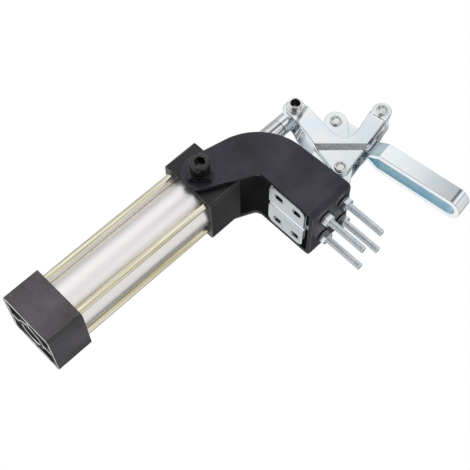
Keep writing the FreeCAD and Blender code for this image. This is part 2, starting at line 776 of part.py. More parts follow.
def mounting_bolt(place):
    """A screw at its pitch radius as far as the nut's outer face, and at its full radius beyond."""
    x_head = YOKE_FRONT_X - YOKE_SHEET - BASE_SHEET - BOLT_HEAD
    x_free = YOKE_FRONT_X + NUT_WASHER + NUT
    head = hexagon(HEX_FLATS, BOLT_HEAD, Vector(x_head, place[0], place[1]), FORWARD, UP)
    shank = along_bolt(BOLT_SHANK_R, place, x_head, x_free)
    free = along_bolt(BOLT_R, place, x_free, BOLT_REACH_X)
    tip = [e for e in free.Edges if e.Closed and abs(e.CenterOfMass.x - BOLT_REACH_X) < NEAR]
    return head.fuse([shank, free.makeChamfer(BOLT_TIP, tip)])


def mounting_washer(place):
    washer = along_bolt(NUT_WASHER_R, place, YOKE_FRONT_X, YOKE_FRONT_X + NUT_WASHER)
    return washer.cut(along_bolt(BOLT_R + FIT, place, YOKE_FRONT_X, YOKE_FRONT_X + NUT_WASHER))


def mounting_nut(place):
    x_seat = YOKE_FRONT_X + NUT_WASHER
    nut = hexagon(HEX_FLATS, NUT, Vector(x_seat, place[0], place[1]), FORWARD, UP)
    bevel = Part.makeCone(
        HEX_FLATS / 2 + NUT, HEX_FLATS / 2, NUT, Vector(x_seat, place[0], place[1]), FORWARD
    )
    bore = BOLT_SHANK_R + FIT
    mouth_r = BOLT_R + NUT_COUNTERSINK
    x_mouth = x_seat + NUT - NUT_COUNTERSINK
    mouth = Part.makeCone(bore, mouth_r, NUT_COUNTERSINK, Vector(x_mouth, place[0], place[1]), FORWARD)
    return nut.common(bevel).cut([along_bolt(bore, place, x_seat, x_seat + NUT), mouth])


# Bell crank

def crank_outline(y_in, y_out):
    """A bent lever: a boss at the rod, a boss at the link and the pivot boss at the bottom."""
    rod_top = touch_from_point(CRANK_NOTCH, ROD_PIN, CRANK_ROD_BOSS_R, -1)
    link_rear = touch_from_point(CRANK_NOTCH, LINK_PIVOT, CRANK_LINK_BOSS_R, 1)
    link_front, pivot_front = touch_pair(
        LINK_PIVOT, CRANK_LINK_BOSS_R, CRANK_PIVOT, CRANK_PIVOT_BOSS_R, 1
    )
    pivot_low, rod_low = touch_pair(CRANK_PIVOT, CRANK_PIVOT_BOSS_R, ROD_PIN, CRANK_ROD_BOSS_R, 1)
    corners = [
        (rod_top[0], rod_top[1], 0),
        (CRANK_NOTCH[0], CRANK_NOTCH[1], CRANK_NOTCH_R),
        (link_rear[0], link_rear[1], 0),
        (link_front[0], link_front[1], 0),
        (pivot_front[0], pivot_front[1], 0),
        (pivot_low[0], pivot_low[1], 0),
        (rod_low[0], rod_low[1], 0),
    ]
    outline = side_prism(corners, y_in, y_out)
    bosses = [
        cross_rod(CRANK_ROD_BOSS_R, ROD_PIN, y_in, y_out),
        cross_rod(CRANK_LINK_BOSS_R, LINK_PIVOT, y_in, y_out),
        cross_rod(CRANK_PIVOT_BOSS_R, CRANK_PIVOT, y_in, y_out),
    ]
    return outline.fuse(bosses)


def raised_zone(y_foot, rise):
    """A low pyramid over the lever's middle, whose three slopes are its joggles."""
    lines = [JOGGLE_AT_ROD, JOGGLE_AT_PIVOT, JOGGLE_AT_LINK]
    runs = [JOGGLE_RUN, JOGGLE_RUN_AT_PIVOT, JOGGLE_RUN]
    foot_lines = [shifted(line, run) for line, run in zip(lines, runs)]
    wires = []
    for used, y in ((foot_lines, y_foot), (lines, y_foot + rise)):
        points = [side(meet(used[i - 1], used[i]), y) for i in range(3)]
        wires.append(Part.makePolygon(points + points[:1]))
    return Part.makeLoft(wires, True, True)


def crank_plate():
    outline = crank_outline(CRANK_IN - OVER, CRANK_OUT + CRANK_RAISE + OVER)
    slab = crank_outline(CRANK_IN, CRANK_OUT)
    top = raised_zone(CRANK_OUT, CRANK_RAISE).common(outline)
    under = raised_zone(CRANK_IN, CRANK_RAISE)
    plate = slab.fuse(top).cut(under)
    holes = [
        cross_rod(ROD_PIN_R + FIT, ROD_PIN, 0, CRANK_OUT + OVER),
        cross_rod(RIVET_R + FIT, LINK_PIVOT, 0, CRANK_OUT + OVER),
        cross_rod(ARM_RIVET_R + RUNNING, CRANK_PIVOT, 0, CRANK_OUT + OVER),
    ]
    return plate.cut(holes).removeSplitter()


def rod_pin_end():
    """One end of the hollow rod pin, from the crank plate's inner face to its open tip."""
    end = cross_rod(ROD_PIN_R, ROD_PIN, CRANK_IN, ROD_PIN_REACH)
    end = end.fuse(cross_rod(PIN_COLLAR_R, ROD_PIN, CRANK_OUT, CRANK_OUT + PIN_COLLAR))
    return end.cut(cross_rod(ROD_PIN_BORE_R, ROD_PIN, CRANK_IN, ROD_PIN_REACH))


# Rivets, links and spacers

def rivet_head(place, y_seat, head_r):
    """A rivet's head, with the dish that setting it leaves."""
    head = cross_rod(head_r, place, y_seat, y_seat + RIVET_HEAD)
    rim = [e for e in head.Edges if e.Closed and abs(e.CenterOfMass.y - y_seat - RIVET_HEAD) < NEAR]
    head = head.makeChamfer(RIVET_EDGE, rim)
    dimple_y = y_seat + RIVET_HEAD - RIVET_DIMPLE
    return head.cut(cross_rod(RIVET_DIMPLE_SHARE * head_r, place, dimple_y, y_seat + RIVET_HEAD))


def rivet(place, shank_r, y_seat):
    """A rivet right through, with a head on each side."""
    head = rivet_head(place, y_seat, RIVET_HEAD_R)
    return cross_rod(shank_r, place, -y_seat, y_seat).fuse([head, mirrored(head)])


def arm_line():
    """The arm's middle line in the side plane, from its pivot forward."""
    rise = math.radians(ARM_RISE)
    return (ARM_PIVOT, (ARM_PIVOT[0] + math.cos(rise), ARM_PIVOT[1] + math.sin(rise)))


def link_foot():
    """The link's lower pin: on the arm's middle line, in line with the two crank pivots."""
    return meet((CRANK_PIVOT, LINK_PIVOT), arm_line())


def link_plate():
    foot = link_foot()
    right = touch_pair(LINK_PIVOT, LINK_R, foot, LINK_R, 1)
    left = touch_pair(LINK_PIVOT, LINK_R, foot, LINK_R, -1)
    corners = [(p[0], p[1], 0) for p in (right[0], right[1], left[1], left[0])]
    plate = side_prism(corners, LINK_IN, LINK_OUT)
    ends = [cross_rod(LINK_R, p, LINK_IN, LINK_OUT) for p in (LINK_PIVOT, foot)]
    plate = plate.fuse(ends).removeSplitter()
    holes = [
        cross_rod(RIVET_R + RUNNING, LINK_PIVOT, 0, LINK_OUT + OVER),
        cross_rod(RIVET_R + FIT, foot, 0, LINK_OUT + OVER),
    ]
    return plate.cut(holes)


def link_spacer():
    return cross_tube(RIVET_R + SPACER_WALL, RIVET_R + RUNNING, LINK_PIVOT, -LINK_IN, LINK_IN)


def link_rivet_end():
    """One end of the link's lower rivet, up to the face of the arm."""
    foot = link_foot()
    shank = cross_rod(RIVET_R, foot, LINK_IN, LINK_OUT)
    return shank.fuse(rivet_head(foot, LINK_OUT, LINK_FOOT_HEAD_R))


def crank_spacer():
    return cross_tube(ARM_RIVET_R + SPACER_WALL, ARM_RIVET_R + FIT, CRANK_PIVOT, -WEB_IN, WEB_IN)


# Arm with its U-shaped front

def u_plan(x_from, half, end_x):
    """Half widths of the strip's outer or inner face, as a closed plan outline with a round end."""
    jog = half - (U_HALF - ARM_REAR_HALF)
    corners = [
        (x_from, -jog, 0),
        (U_JOG_START, -jog, 0),
        (U_JOG_END, -half, 0),
        (end_x, -half, half),
        (end_x, half, half),
        (U_JOG_END, half, 0),
        (U_JOG_START, jog, 0),
        (x_from, jog, 0),
    ]
    return corners


def u_bar():
    """One strip on edge, bent to a U in front and brought together behind."""
    half = ARM_HEIGHT / 2
    outer = plan_prism(u_plan(-half, U_HALF, U_LENGTH), -half, half)
    inner = plan_prism(u_plan(-half - OVER, U_HALF - ARM_STRIP, U_LENGTH - ARM_STRIP), -half, half)
    strip = outer.cut(inner)
    round_rear = [
        (-half, -half, half),
        (-half, half, half),
        (U_LENGTH + OVER, half, 0),
        (U_LENGTH + OVER, -half, 0),
    ]
    strip = strip.common(side_prism(round_rear, -U_HALF - OVER, U_HALF + OVER))
    strip.rotate(MIDDLE, ACROSS, -ARM_RISE)
    strip.translate(side(ARM_PIVOT))
    foot = link_foot()
    reach = ARM_REAR_HALF + OVER
    holes = [
        cross_rod(ARM_RIVET_R + RUNNING, ARM_PIVOT, -reach, reach),
        cross_rod(RIVET_R + FIT, foot, -reach, reach),
    ]
    return strip.cut(holes)


def arm_pin():
    return cross_rod(RIVET_R, link_foot(), -ARM_REAR_HALF, ARM_REAR_HALF)


def build():
    os.makedirs("parts", exist_ok=True)
    half = base_half()
    plate = crank_plate()
    link = link_plate()
    low_ring, high_ring, guide = piston_bands()
    pieces = {
        "front_cap": front_cap(),
        "rear_cap": rear_cap(),
        "barrel": barrel(),
        "barrel_seals": barrel_seals(),
        "tie_rods": tie_rods(),
        "tie_rod_nuts": tie_rod_nuts(),
        "rod_bush": rod_bush(),
        "rod_seal": rod_seal(),
        "trunnion_bushes": pair(trunnion_bush()),
        "flat_washers": pair(flat_washer()),
        "tab_washers": pair(tab_washer()),
        "trunnion_screws": pair(trunnion_screw()),
        "piston": piston(),
        "piston_seals": Part.Compound([piston_ring(low_ring), piston_ring(high_ring)]),
        "piston_guide_ring": piston_ring(guide),
        "piston_nut": piston_nut(),
        "piston_rod": piston_rod(),
        "rod_eye": rod_eye(),
        "rod_pin_middle": rod_pin_middle(),
        "yoke_bracket": yoke_bracket(),
        "base_half_far": half,
        "base_half_near": mirrored(half),
        "mounting_bolts": Part.Compound([mounting_bolt(p) for p in bolt_places()]),
        "mounting_washers": Part.Compound([mounting_washer(p) for p in bolt_places()]),
        "mounting_nuts": Part.Compound([mounting_nut(p) for p in bolt_places()]),
        "arm_rivet": rivet(ARM_PIVOT, ARM_RIVET_R, WEB_OUT),
        "crank_rivet": rivet(CRANK_PIVOT, ARM_RIVET_R, CRANK_OUT + SIDE),
        "crank_spacer": crank_spacer(),
        "crank_plate_far": plate,
        "crank_plate_near": mirrored(plate),
        "rod_pin_ends": pair(rod_pin_end()),
        "link_rivet": rivet(LINK_PIVOT, RIVET_R, CRANK_OUT),
        "link_plate_far": link,
        "link_plate_near": mirrored(link),
        "link_spacer": link_spacer(),
        "link_rivet_ends": pair(link_rivet_end()),
        "u_bar": u_bar(),
        "arm_pin": arm_pin(),
    }
    for name, shape in pieces.items():
        save(name, shape)


build()
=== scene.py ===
"""Looks of a pneumatic power clamp: a toggle clamp worked by a trunnion-mounted air cylinder."""

from __future__ import annotations

import json
import logging
import math
from dataclasses import dataclass, field
from enum import Enum
from typing import Callable, Iterable, Sequence, Union

import bpy
from mathutils import Matrix, Vector

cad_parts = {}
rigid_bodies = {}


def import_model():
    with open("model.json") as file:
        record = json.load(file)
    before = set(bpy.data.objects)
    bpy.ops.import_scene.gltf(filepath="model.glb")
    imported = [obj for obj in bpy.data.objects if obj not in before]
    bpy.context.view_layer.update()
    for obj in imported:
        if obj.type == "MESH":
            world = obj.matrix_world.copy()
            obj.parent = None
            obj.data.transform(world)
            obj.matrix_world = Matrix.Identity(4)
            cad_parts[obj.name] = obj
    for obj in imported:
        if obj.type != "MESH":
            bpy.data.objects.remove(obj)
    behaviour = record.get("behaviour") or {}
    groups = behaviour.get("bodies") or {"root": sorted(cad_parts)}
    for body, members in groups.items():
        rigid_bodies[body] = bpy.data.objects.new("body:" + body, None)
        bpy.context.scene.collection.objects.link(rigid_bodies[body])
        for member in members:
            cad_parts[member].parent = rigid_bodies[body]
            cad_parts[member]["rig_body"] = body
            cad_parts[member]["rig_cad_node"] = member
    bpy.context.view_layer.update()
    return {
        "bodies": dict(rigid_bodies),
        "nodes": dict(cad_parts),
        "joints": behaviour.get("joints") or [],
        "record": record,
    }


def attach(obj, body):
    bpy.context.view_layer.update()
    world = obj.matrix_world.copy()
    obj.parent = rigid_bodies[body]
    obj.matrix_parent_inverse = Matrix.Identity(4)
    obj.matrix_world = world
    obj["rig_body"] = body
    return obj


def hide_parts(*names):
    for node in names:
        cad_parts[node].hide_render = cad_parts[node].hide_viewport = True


log = logging.getLogger("power_clamp")

MM = 0.001
NEAR = 1e-6
SAME_POINT = 5.0 * NEAR
SAME_PLANE = math.radians(0.4)
CORNER_REACH = 1.2
RIVET_SHADE = 45.0
FLAT = 0.9
SLIP = 0.05
FULL_TURN = 2.0 * math.pi
WHITE = (1.0, 1.0, 1.0, 1.0)
PATTERN_RANGE = (0.35, 0.65)
LEAST_ROUGHNESS = 0.04
THREAD_DEPTH = 0.62
THREAD_CREST = (0.46, 0.54)

Piece = bpy.types.Object
Face = bpy.types.MeshPolygon
Place = tuple[float, float]
Stations = Sequence[tuple[float, float]]
Triple = tuple[float, float, float]

TRUNNION: Place = (-63.5, -31.5)
ROD_PIN: Place = (-63.5, 74.5)
ARM_PIVOT: Place = (-31.5, 89.5)
LINK_PIVOT: Place = (-10.6, 122.2)
CRANK_PIVOT: Place = (2.5, 57.7)
LINK_FOOT: Place = (-4.6147, 92.7058)


class Axis(Enum):
    """The line that a turned piece stands along."""

    FORWARD = (1.0, 0.0, 0.0)
    ACROSS = (0.0, 1.0, 0.0)
    UP = (0.0, 0.0, 1.0)

    @property
    def along(self) -> Vector:
        """The axis as a unit vector."""
        return Vector(self.value)

    @property
    def outward(self) -> Vector:
        """A unit vector square to the axis, from which the stations' radii are measured."""
        return Vector((1.0, 0.0, 0.0)) if self is Axis.UP else Vector((0.0, 0.0, 1.0))

    def placing(self, start: Vector) -> Matrix:
        """The move that stands a piece made along Z on this axis.

        Args:
            start: Where the piece's origin goes, in millimetres.

        Returns:
            The move, in metres.
        """
        across = self.outward.cross(self.along)
        turn = Matrix((across, self.outward, self.along)).transposed().to_4x4()
        return Matrix.Translation(start * MM) @ turn


class Grain(Enum):
    """How a surface was made, which gives the direction and scale of its fine marks."""

    CAST = (1.0, 1.0, 1.0)
    ROLLED = (1.0, 1.0, 0.35)
    DRAWN_UP = (1.0, 1.0, 0.02)
    BRUSHED = (0.04, 0.5, 1.0)
    DRAWN_FORWARD = (0.03, 1.0, 1.0)
    TURNED_UP = (0.06, 0.06, 1.0)
    TURNED_ACROSS = (0.06, 1.0, 0.06)


class Quantity:
    """A shader value that takes part in Python arithmetic and adds its own Math nodes."""

    def __init__(self, board: "Board", socket: bpy.types.NodeSocket) -> None:
        """Keeps the output socket that carries the value, and the board that it is wired on."""
        self.board = board
        self.socket = socket

    def _worked(self, operation: str, first: "Term", second: "Term") -> "Quantity":
        """The value of a new Math node that works on two terms."""
        node = self.board.add("ShaderNodeMath", {"operation": operation}, {0: first, 1: second})
        return self.board.number(node)

    def __add__(self, other: "Term") -> "Quantity":
        """The sum with another term."""
        return self._worked("ADD", self, other)

    def __radd__(self, other: float) -> "Quantity":
        """The sum with a number that stands first."""
        return self._worked("ADD", other, self)

    def __sub__(self, other: "Term") -> "Quantity":
        """This value less another term."""
        return self._worked("SUBTRACT", self, other)

    def __rsub__(self, other: float) -> "Quantity":
        """A number less this value."""
        return self._worked("SUBTRACT", other, self)

    def __mul__(self, other: "Term") -> "Quantity":
        """The product with another term."""
        return self._worked("MULTIPLY", self, other)

    def __rmul__(self, other: float) -> "Quantity":
        """The product with a number that stands first."""
        return self._worked("MULTIPLY", other, self)

    def over(self, other: "Term") -> "Quantity":
        """The larger of this value and another term."""
        return self._worked("MAXIMUM", self, other)


Term = Union[Quantity, float]


class Board:
    """The node tree of one material or of the world, with one method that adds its nodes."""

    def __init__(self, tree: bpy.types.NodeTree) -> None:
        """Takes the node tree of a material or of the world, and empties it."""
        self.tree = tree
        tree.nodes.clear()

    def add(self, kind: str, settings: dict | None = None, sockets: dict | None = None) -> bpy.types.Node:
        """Adds a node, sets it, then fills or links its input sockets.

        Args:
            kind: The node's type.
            settings: Attributes of the node.
            sockets: Values, sockets or quantities by input name or number.

        Returns:
            The new node.
        """
        node = self.tree.nodes.new(kind)
        for name, value in (settings or {}).items():
            setattr(node, name, value)
        for name, value in (sockets or {}).items():
            if isinstance(value, Quantity):
                value = value.socket
            if isinstance(value, bpy.types.NodeSocket):
                self.tree.links.new(value, node.inputs[name])
            else:
                node.inputs[name].default_value = value
        return node

    def number(self, node: bpy.types.Node, output: str | int = 0) -> Quantity:
        """One output of a node, by name or number, as a value for arithmetic."""
        return Quantity(self, node.outputs[output])

    def noise(self, stretch: Sequence[float], scale: float, detail: float = 3.0) -> Quantity:
        """A noise pattern on the piece's own coordinates.

        Args:
            stretch: How much each axis counts, so that a small share draws the pattern out along it.
            scale: Cells to the metre.
            detail: Octaves of finer noise.

        Returns:
            The pattern, about a half on average.
        """
        place = self.add("ShaderNodeTexCoord").outputs["Object"]
        turned = self.add("ShaderNodeMapping", None, {"Vector": place, "Scale": tuple(stretch)})
        node = self.add(
            "ShaderNodeTexNoise",
            None,
            {"Vector": turned.outputs[0], "Scale": scale, "Detail": detail, "Roughness": 0.55},
        )
        return self.number(node)

    def spread(self, value: Quantity, low: float, high: float, shape: str = "LINEAR") -> Quantity:
        """A value spread over the whole range, from 0 at the low end to 1 at the high end."""
        inputs = {"Value": value, "From Min": low, "From Max": high}
        return self.number(self.add("ShaderNodeMapRange", {"interpolation_type": shape}, inputs))

    def facing(self, way: Sequence[float]) -> Quantity:
        """How nearly a direction of the surround agrees with another one.

        Args:
            way: The other direction.

        Returns:
            The cosine of the angle between them.
        """
        towards = self.add("ShaderNodeTexCoord").outputs["Generated"]
        unit = tuple(Vector(way).normalized())
        node = self.add("ShaderNodeVectorMath", {"operation": "DOT_PRODUCT"}, {0: towards, 1: unit})
        return self.number(node, "Value")

    def blend(self, share: Term, under: "Colour", over: Triple) -> bpy.types.NodeSocket:
        """A colour laid over another by a share.

        Args:
            share: From 0 for the colour below to 1 for the one above.
            under: The colour below, as a socket or as red, green and blue.
            over: Red, green and blue of the one above.

        Returns:
            The blended colour.
        """
        below = under if isinstance(under, bpy.types.NodeSocket) else (*under, 1.0)
        node = self.add("ShaderNodeMix", {"data_type": "RGBA"}, {0: share, 6: below, 7: (*over, 1.0)})
        return node.outputs[2]


Colour = Union[bpy.types.NodeSocket, Triple]


@dataclass(frozen=True)
class Finish:
    """One finish of the clamp: its colours, its gloss and the marks that its making left."""

    name: str
    slot: str
    base: Triple
    tint: Triple
    metallic: float
    roughness: float
    spread: float
    grain: Grain
    mark_scale: float
    mark_depth: float
    mottle_scale: float = 40.0
    specular: float = 0.5
    streaks: float = 0.0

    def material(self) -> bpy.types.Material:
        """The finish as a material, made once and then found by name.

        Returns:
            The material.
        """
        known = bpy.data.materials.get(self.name)
        if known:
            return known
        made = bpy.data.materials.new(self.name)
        made.use_nodes = True
        board = Board(made.node_tree)
        mottle = board.noise((1.0, 1.0, 1.0), self.mottle_scale, 4.0)
        marks = board.noise(self.grain.value, self.mark_scale, 2.0)
        pattern = (1.0 - self.streaks) * mottle + self.streaks * marks
        colour = board.blend(board.spread(pattern, *PATTERN_RANGE), self.base, self.tint)
        gloss = self.roughness + 2.0 * self.spread * (mottle - 0.5) + self.spread * (marks - 0.5)
        relief = board.add(
            "ShaderNodeBump", None, {"Strength": 0.5, "Distance": self.mark_depth, "Height": marks}
        )
        shader = board.add(
            "ShaderNodeBsdfPrincipled",
            None,
            {
                "Base Color": colour,
                "Metallic": self.metallic,
                "Roughness": gloss.over(LEAST_ROUGHNESS),
                "Normal": relief.outputs[0],
                "Specular IOR Level": self.specular,
            },
        )
        board.add("ShaderNodeOutputMaterial", None, {"Surface": shader.outputs[0]})
        return made


BLACK_SHEET = Finish(
    "black_painted_sheet", "black_sheet", (0.017, 0.015, 0.024), (0.060, 0.053, 0.078),
    0.0, 0.32, 0.06, Grain.CAST, 900.0, 0.00003, 24.0, 0.36,
)
# Dull near-black painted shade, laid on the yoke's inward and downward faces and on the rear cap's downward
# faces.
PAINTED_SHADE_BLACK = Finish(
    "painted_shade_black", "black_sheet", (0.009, 0.0085, 0.009), (0.020, 0.019, 0.020),
    0.0, 0.55, 0.05, Grain.CAST, 900.0, 0.00003, 40.0, 0.16,
)
BLACK_CASTING = Finish(
    "black_cap_paint", "black_cap", (0.016, 0.014, 0.016), (0.030, 0.026, 0.029),
    0.0, 0.36, 0.06, Grain.ROLLED, 1400.0, 0.00003, 60.0, 0.36,
)
REAR_CASTING = Finish(
    "worn_cap_paint", "black_cap", (0.060, 0.053, 0.058), (0.185, 0.167, 0.182),
    0.0, 0.42, 0.06, Grain.BRUSHED, 2600.0, 0.00003, 38.0, 0.5, 0.3,
)
# Bright metal laid on the rear cap's edges at its rear end: a painted highlight.
HIGHLIGHT_RIM = Finish(
    "painted_highlight_rim", "black_cap", (0.50, 0.49, 0.48), (0.95, 0.94, 0.93),
    1.0, 0.30, 0.06, Grain.CAST, 500.0, 0.00001, 90.0,
)
RUBBED_EDGE = Finish(
    "rubbed_black_edge", "black_sheet", (0.016, 0.015, 0.017), (0.110, 0.105, 0.110),
    0.0, 0.30, 0.06, Grain.CAST, 500.0, 0.00001, 60.0, 0.45,
)
BLACK_OXIDE = Finish(
    "black_oxide_steel", "black_steel", (0.010, 0.010, 0.011), (0.016, 0.016, 0.018),
    0.0, 0.20, 0.05, Grain.CAST, 700.0, 0.00001, 80.0, 0.6,
)
BARREL_ALLOY = Finish(
    "anodised_barrel", "barrel_alloy", (0.97, 0.945, 0.945), (0.99, 0.97, 0.96),
    1.0, 0.34, 0.03, Grain.DRAWN_UP, 2600.0, 0.000006, 25.0,
)
GOLD_ZINC = Finish(
    "yellow_zinc_rods", "gold_zinc", (1.0, 0.94, 0.84), (0.50, 0.46, 0.25),
    1.0, 0.12, 0.02, Grain.DRAWN_UP, 420.0, 0.000002, 14.0, 0.5, 0.9,
)
BLUE_ZINC = Finish(
    "bright_zinc_plate", "blue_zinc", (0.76, 0.86, 0.93), (0.92, 0.925, 0.92),
    1.0, 0.20, 0.04, Grain.ROLLED, 700.0, 0.00001, 30.0,
)
# Bluer zinc laid on the inner side of the U bar: a painted blue reflection.
PAINTED_REFLECTION_ZINC = Finish(
    "painted_blue_reflection_zinc", "blue_zinc", (0.58, 0.80, 0.90), (0.72, 0.88, 0.95),
    1.0, 0.24, 0.04, Grain.ROLLED, 700.0, 0.00001, 30.0,
)
STUD_ZINC = Finish(
    "rolled_thread_zinc", "blue_zinc", (0.76, 0.84, 0.90), (0.95, 0.96, 0.97),
    1.0, 0.28, 0.05, Grain.CAST, 900.0, 0.00001, 60.0,
)
# Darker blue zinc laid on the faces where the U bar narrows to its neck: painted shade.
PAINTED_SHADE_ZINC = Finish(
    "painted_shade_blue_zinc", "blue_zinc", (0.26, 0.37, 0.41), (0.44, 0.56, 0.60),
    1.0, 0.24, 0.04, Grain.ROLLED, 700.0, 0.00001, 60.0,
)
# Darker, duller zinc laid on the base's downward sole faces: painted shade.
PAINTED_SHADE_FLANGE_ZINC = Finish(
    "painted_shade_flange_zinc", "flange_zinc", (0.50, 0.53, 0.53), (0.60, 0.62, 0.62),
    1.0, 0.34, 0.05, Grain.ROLLED, 800.0, 0.00002, 40.0,
)
ROD_CHROME = Finish(
    "hard_chrome_rod", "rod_chrome", (0.72, 0.72, 0.74), (0.76, 0.76, 0.77),
    1.0, 0.10, 0.02, Grain.TURNED_UP, 1800.0, 0.000002,
)
SHEARED_EDGE = Finish(
    "sheared_zinc_edge", "blue_zinc", (0.30, 0.32, 0.33), (0.56, 0.58, 0.59),
    1.0, 0.30, 0.06, Grain.CAST, 900.0, 0.00001, 90.0,
)
DRAWN_BEND = Finish(
    "drawn_zinc_bend", "blue_zinc", (0.62, 0.63, 0.64), (0.96, 0.96, 0.96),
    1.0, 0.30, 0.06, Grain.DRAWN_FORWARD, 900.0, 0.00002, 40.0, 0.5, 0.8,
)
RIVET_STEEL = Finish(
    "bright_rivet_steel", "rivet_steel", (0.70, 0.70, 0.69), (0.80, 0.80, 0.78),
    1.0, 0.16, 0.04, Grain.TURNED_ACROSS, 900.0, 0.000005, 120.0,
)
# Near black laid on the wall of the rod pin's bore: painted shade.
BORE_SHADE = Finish(
    "painted_shade_bore", "rivet_steel", (0.020, 0.020, 0.022), (0.035, 0.035, 0.036),
    0.0, 0.45, 0.05, Grain.CAST, 900.0, 0.00002,
)
BRONZE = Finish(
    "sintered_bronze", "bronze", (0.46, 0.30, 0.13), (0.55, 0.38, 0.18),
    1.0, 0.38, 0.06, Grain.CAST, 2200.0, 0.00002, 300.0,
)
SEAL_RUBBER = Finish(
    "black_seal_rubber", "seal_rubber", (0.018, 0.018, 0.018), (0.030, 0.030, 0.030),
    0.0, 0.55, 0.05, Grain.CAST, 1500.0, 0.00002, 60.0, 0.3,
)
PISTON_ALLOY = Finish(
    "turned_piston", "piston_alloy", (0.66, 0.66, 0.68), (0.74, 0.74, 0.75),
    1.0, 0.30, 0.05, Grain.TURNED_UP, 2200.0, 0.00001,
)


class Bench:
    """Modelling steps that the sub-assemblies share, most of them done with Blender's operators."""

    @staticmethod
    def clear() -> None:
        """Deselects everything, as the first step of every new piece."""
        bpy.ops.object.select_all(action="DESELECT")

    @staticmethod
    def _fresh(name: str) -> Piece:
        """Names the object that an operator has just added.

        Args:
            name: Its name, and its mesh's.

        Returns:
            The object.
        """
        piece = bpy.context.object
        piece.name = piece.data.name = name
        return piece

    @classmethod
    def take(cls, piece: Piece) -> None:
        """Selects one piece alone and makes it active.

        Args:
            piece: The piece to work on.
        """
        cls.clear()
        piece.select_set(True)
        bpy.context.view_layer.objects.active = piece

    @classmethod
    def settle(cls, piece: Piece) -> None:
        """Moves the piece's place into its mesh."""
        cls.take(piece)
        bpy.ops.object.transform_apply(location=True, rotation=True, scale=True)

    @classmethod
    def apply(cls, piece: Piece, kind: str, **settings: object) -> None:
        """Adds a modifier, sets it and applies it.

        Args:
            piece: The piece that is changed.
            kind: The modifier's type.
            settings: The modifier's attributes.
        """
        cls.take(piece)
        step = piece.modifiers.new(kind.title(), kind)
        for name, value in settings.items():
            setattr(step, name, value)
        bpy.ops.object.modifier_apply(modifier=step.name)

    @classmethod
    def soften(
        cls, piece: Piece, width: float, segments: int = 2, angle: float = 35.0, clamp: bool = True
    ) -> None:
        """Rounds the sharp edges of a piece.

        Args:
            piece: The piece that is changed.
            width: The rounding's width in millimetres.
            segments: Faces across the rounding.
            angle: The smallest angle in degrees that counts as an edge.
            clamp: Whether short edges may narrow the rounding.
        """
        cls.apply(
            piece, "BEVEL", width=width * MM, segments=segments, limit_method="ANGLE",
            angle_limit=math.radians(angle), use_clamp_overlap=clamp, material=1,
        )

    @classmethod
    def smooth(cls, piece: Piece, angle: float = 30.0) -> None:
        """Shades a piece smooth, up to an angle in degrees.

        Args:
            piece: The piece that is shaded.
            angle: The angle from which an edge stays sharp.
        """
        cls.take(piece)
        bpy.ops.object.shade_smooth_by_angle(angle=math.radians(angle))
        cls.apply(piece, "WEIGHTED_NORMAL", keep_sharp=True, weight=80)

    @classmethod
    def turned(
        cls, name: str, stations: Stations, foot: Vector, axis: Axis, ring: bool = False, steps: int = 48
    ) -> Piece:
        """A turned piece: one vertex extruded along a profile, then spun round.

        Args:
            name: The piece's name.
            stations: Radius and distance along the axis of each point, in millimetres.
            foot: The point on the axis from which the distances count, in millimetres.
            axis: The axis that the piece stands along.
            ring: Whether the profile closes on itself round a bore.
            steps: Faces round the piece.

        Returns:
            The piece.
        """
        points = [(foot + axis.outward * r + axis.along * a) * MM for r, a in stations]
        if ring:
            points.append(points[0])
        cls.clear()
        bpy.ops.mesh.primitive_plane_add(size=MM, location=points[0])
        piece = cls._fresh(name)
        cls.settle(piece)
        bpy.ops.object.mode_set(mode="EDIT")
        bpy.ops.mesh.select_all(action="SELECT")
        bpy.ops.mesh.merge(type="CENTER")
        for before, after in zip(points, points[1:]):
            bpy.ops.mesh.extrude_vertices_move(TRANSFORM_OT_translate={"value": tuple(after - before)})
        bpy.ops.mesh.select_all(action="SELECT")
        bpy.ops.mesh.spin(steps=steps, angle=FULL_TURN, center=tuple(foot * MM), axis=tuple(axis.along))
        cls._close_up()
        bpy.ops.object.mode_set(mode="OBJECT")
        return piece

    @classmethod
    def pair(
        cls, name: str, stations: Stations, place: Vector, ring: bool = False, steps: int = 48
    ) -> Piece:
        """A piece turned about a line across the clamp, once on each side and joined."""
        sides = [[(r, side * a) for r, a in stations] for side in (1, -1)]
        return cls.joined([cls.turned(name, side, place, Axis.ACROSS, ring, steps) for side in sides])

    @staticmethod
    def _close_up() -> None:
        """In edit mode, merges doubles and turns all faces outwards."""
        bpy.ops.mesh.select_all(action="SELECT")
        bpy.ops.mesh.remove_doubles(threshold=NEAR)
        bpy.ops.mesh.normals_make_consistent(inside=False)

    @classmethod
    def hexagon(cls, name: str, flats: float, start: Vector, axis: Axis, height: float) -> Piece:
        """A hexagonal bar, with one corner along the axis's outward line.

        Args:
            name: The piece's name.
            flats: The width across flats, in millimetres.
            start: The middle of its first end, in millimetres.
            axis: The axis that the bar stands along.
            height: Its length, in millimetres.

        Returns:
            The piece.
        """
        corner = flats / math.sqrt(3.0) * MM
        cls.clear()
        bpy.ops.mesh.primitive_cylinder_add(vertices=6, radius=corner, depth=height * MM)
        piece = cls._fresh(name)
        piece.matrix_world = axis.placing(start + axis.along * height / 2.0)
        cls.settle(piece)
        return piece

    @classmethod
    def cut(cls, piece: Piece, tool: Piece, operation: str = "DIFFERENCE") -> None:
        """Cuts a piece with a tool, which is then thrown away."""
        cls.apply(piece, "BOOLEAN", object=tool, operation=operation, solver="EXACT")
        bpy.data.objects.remove(tool)

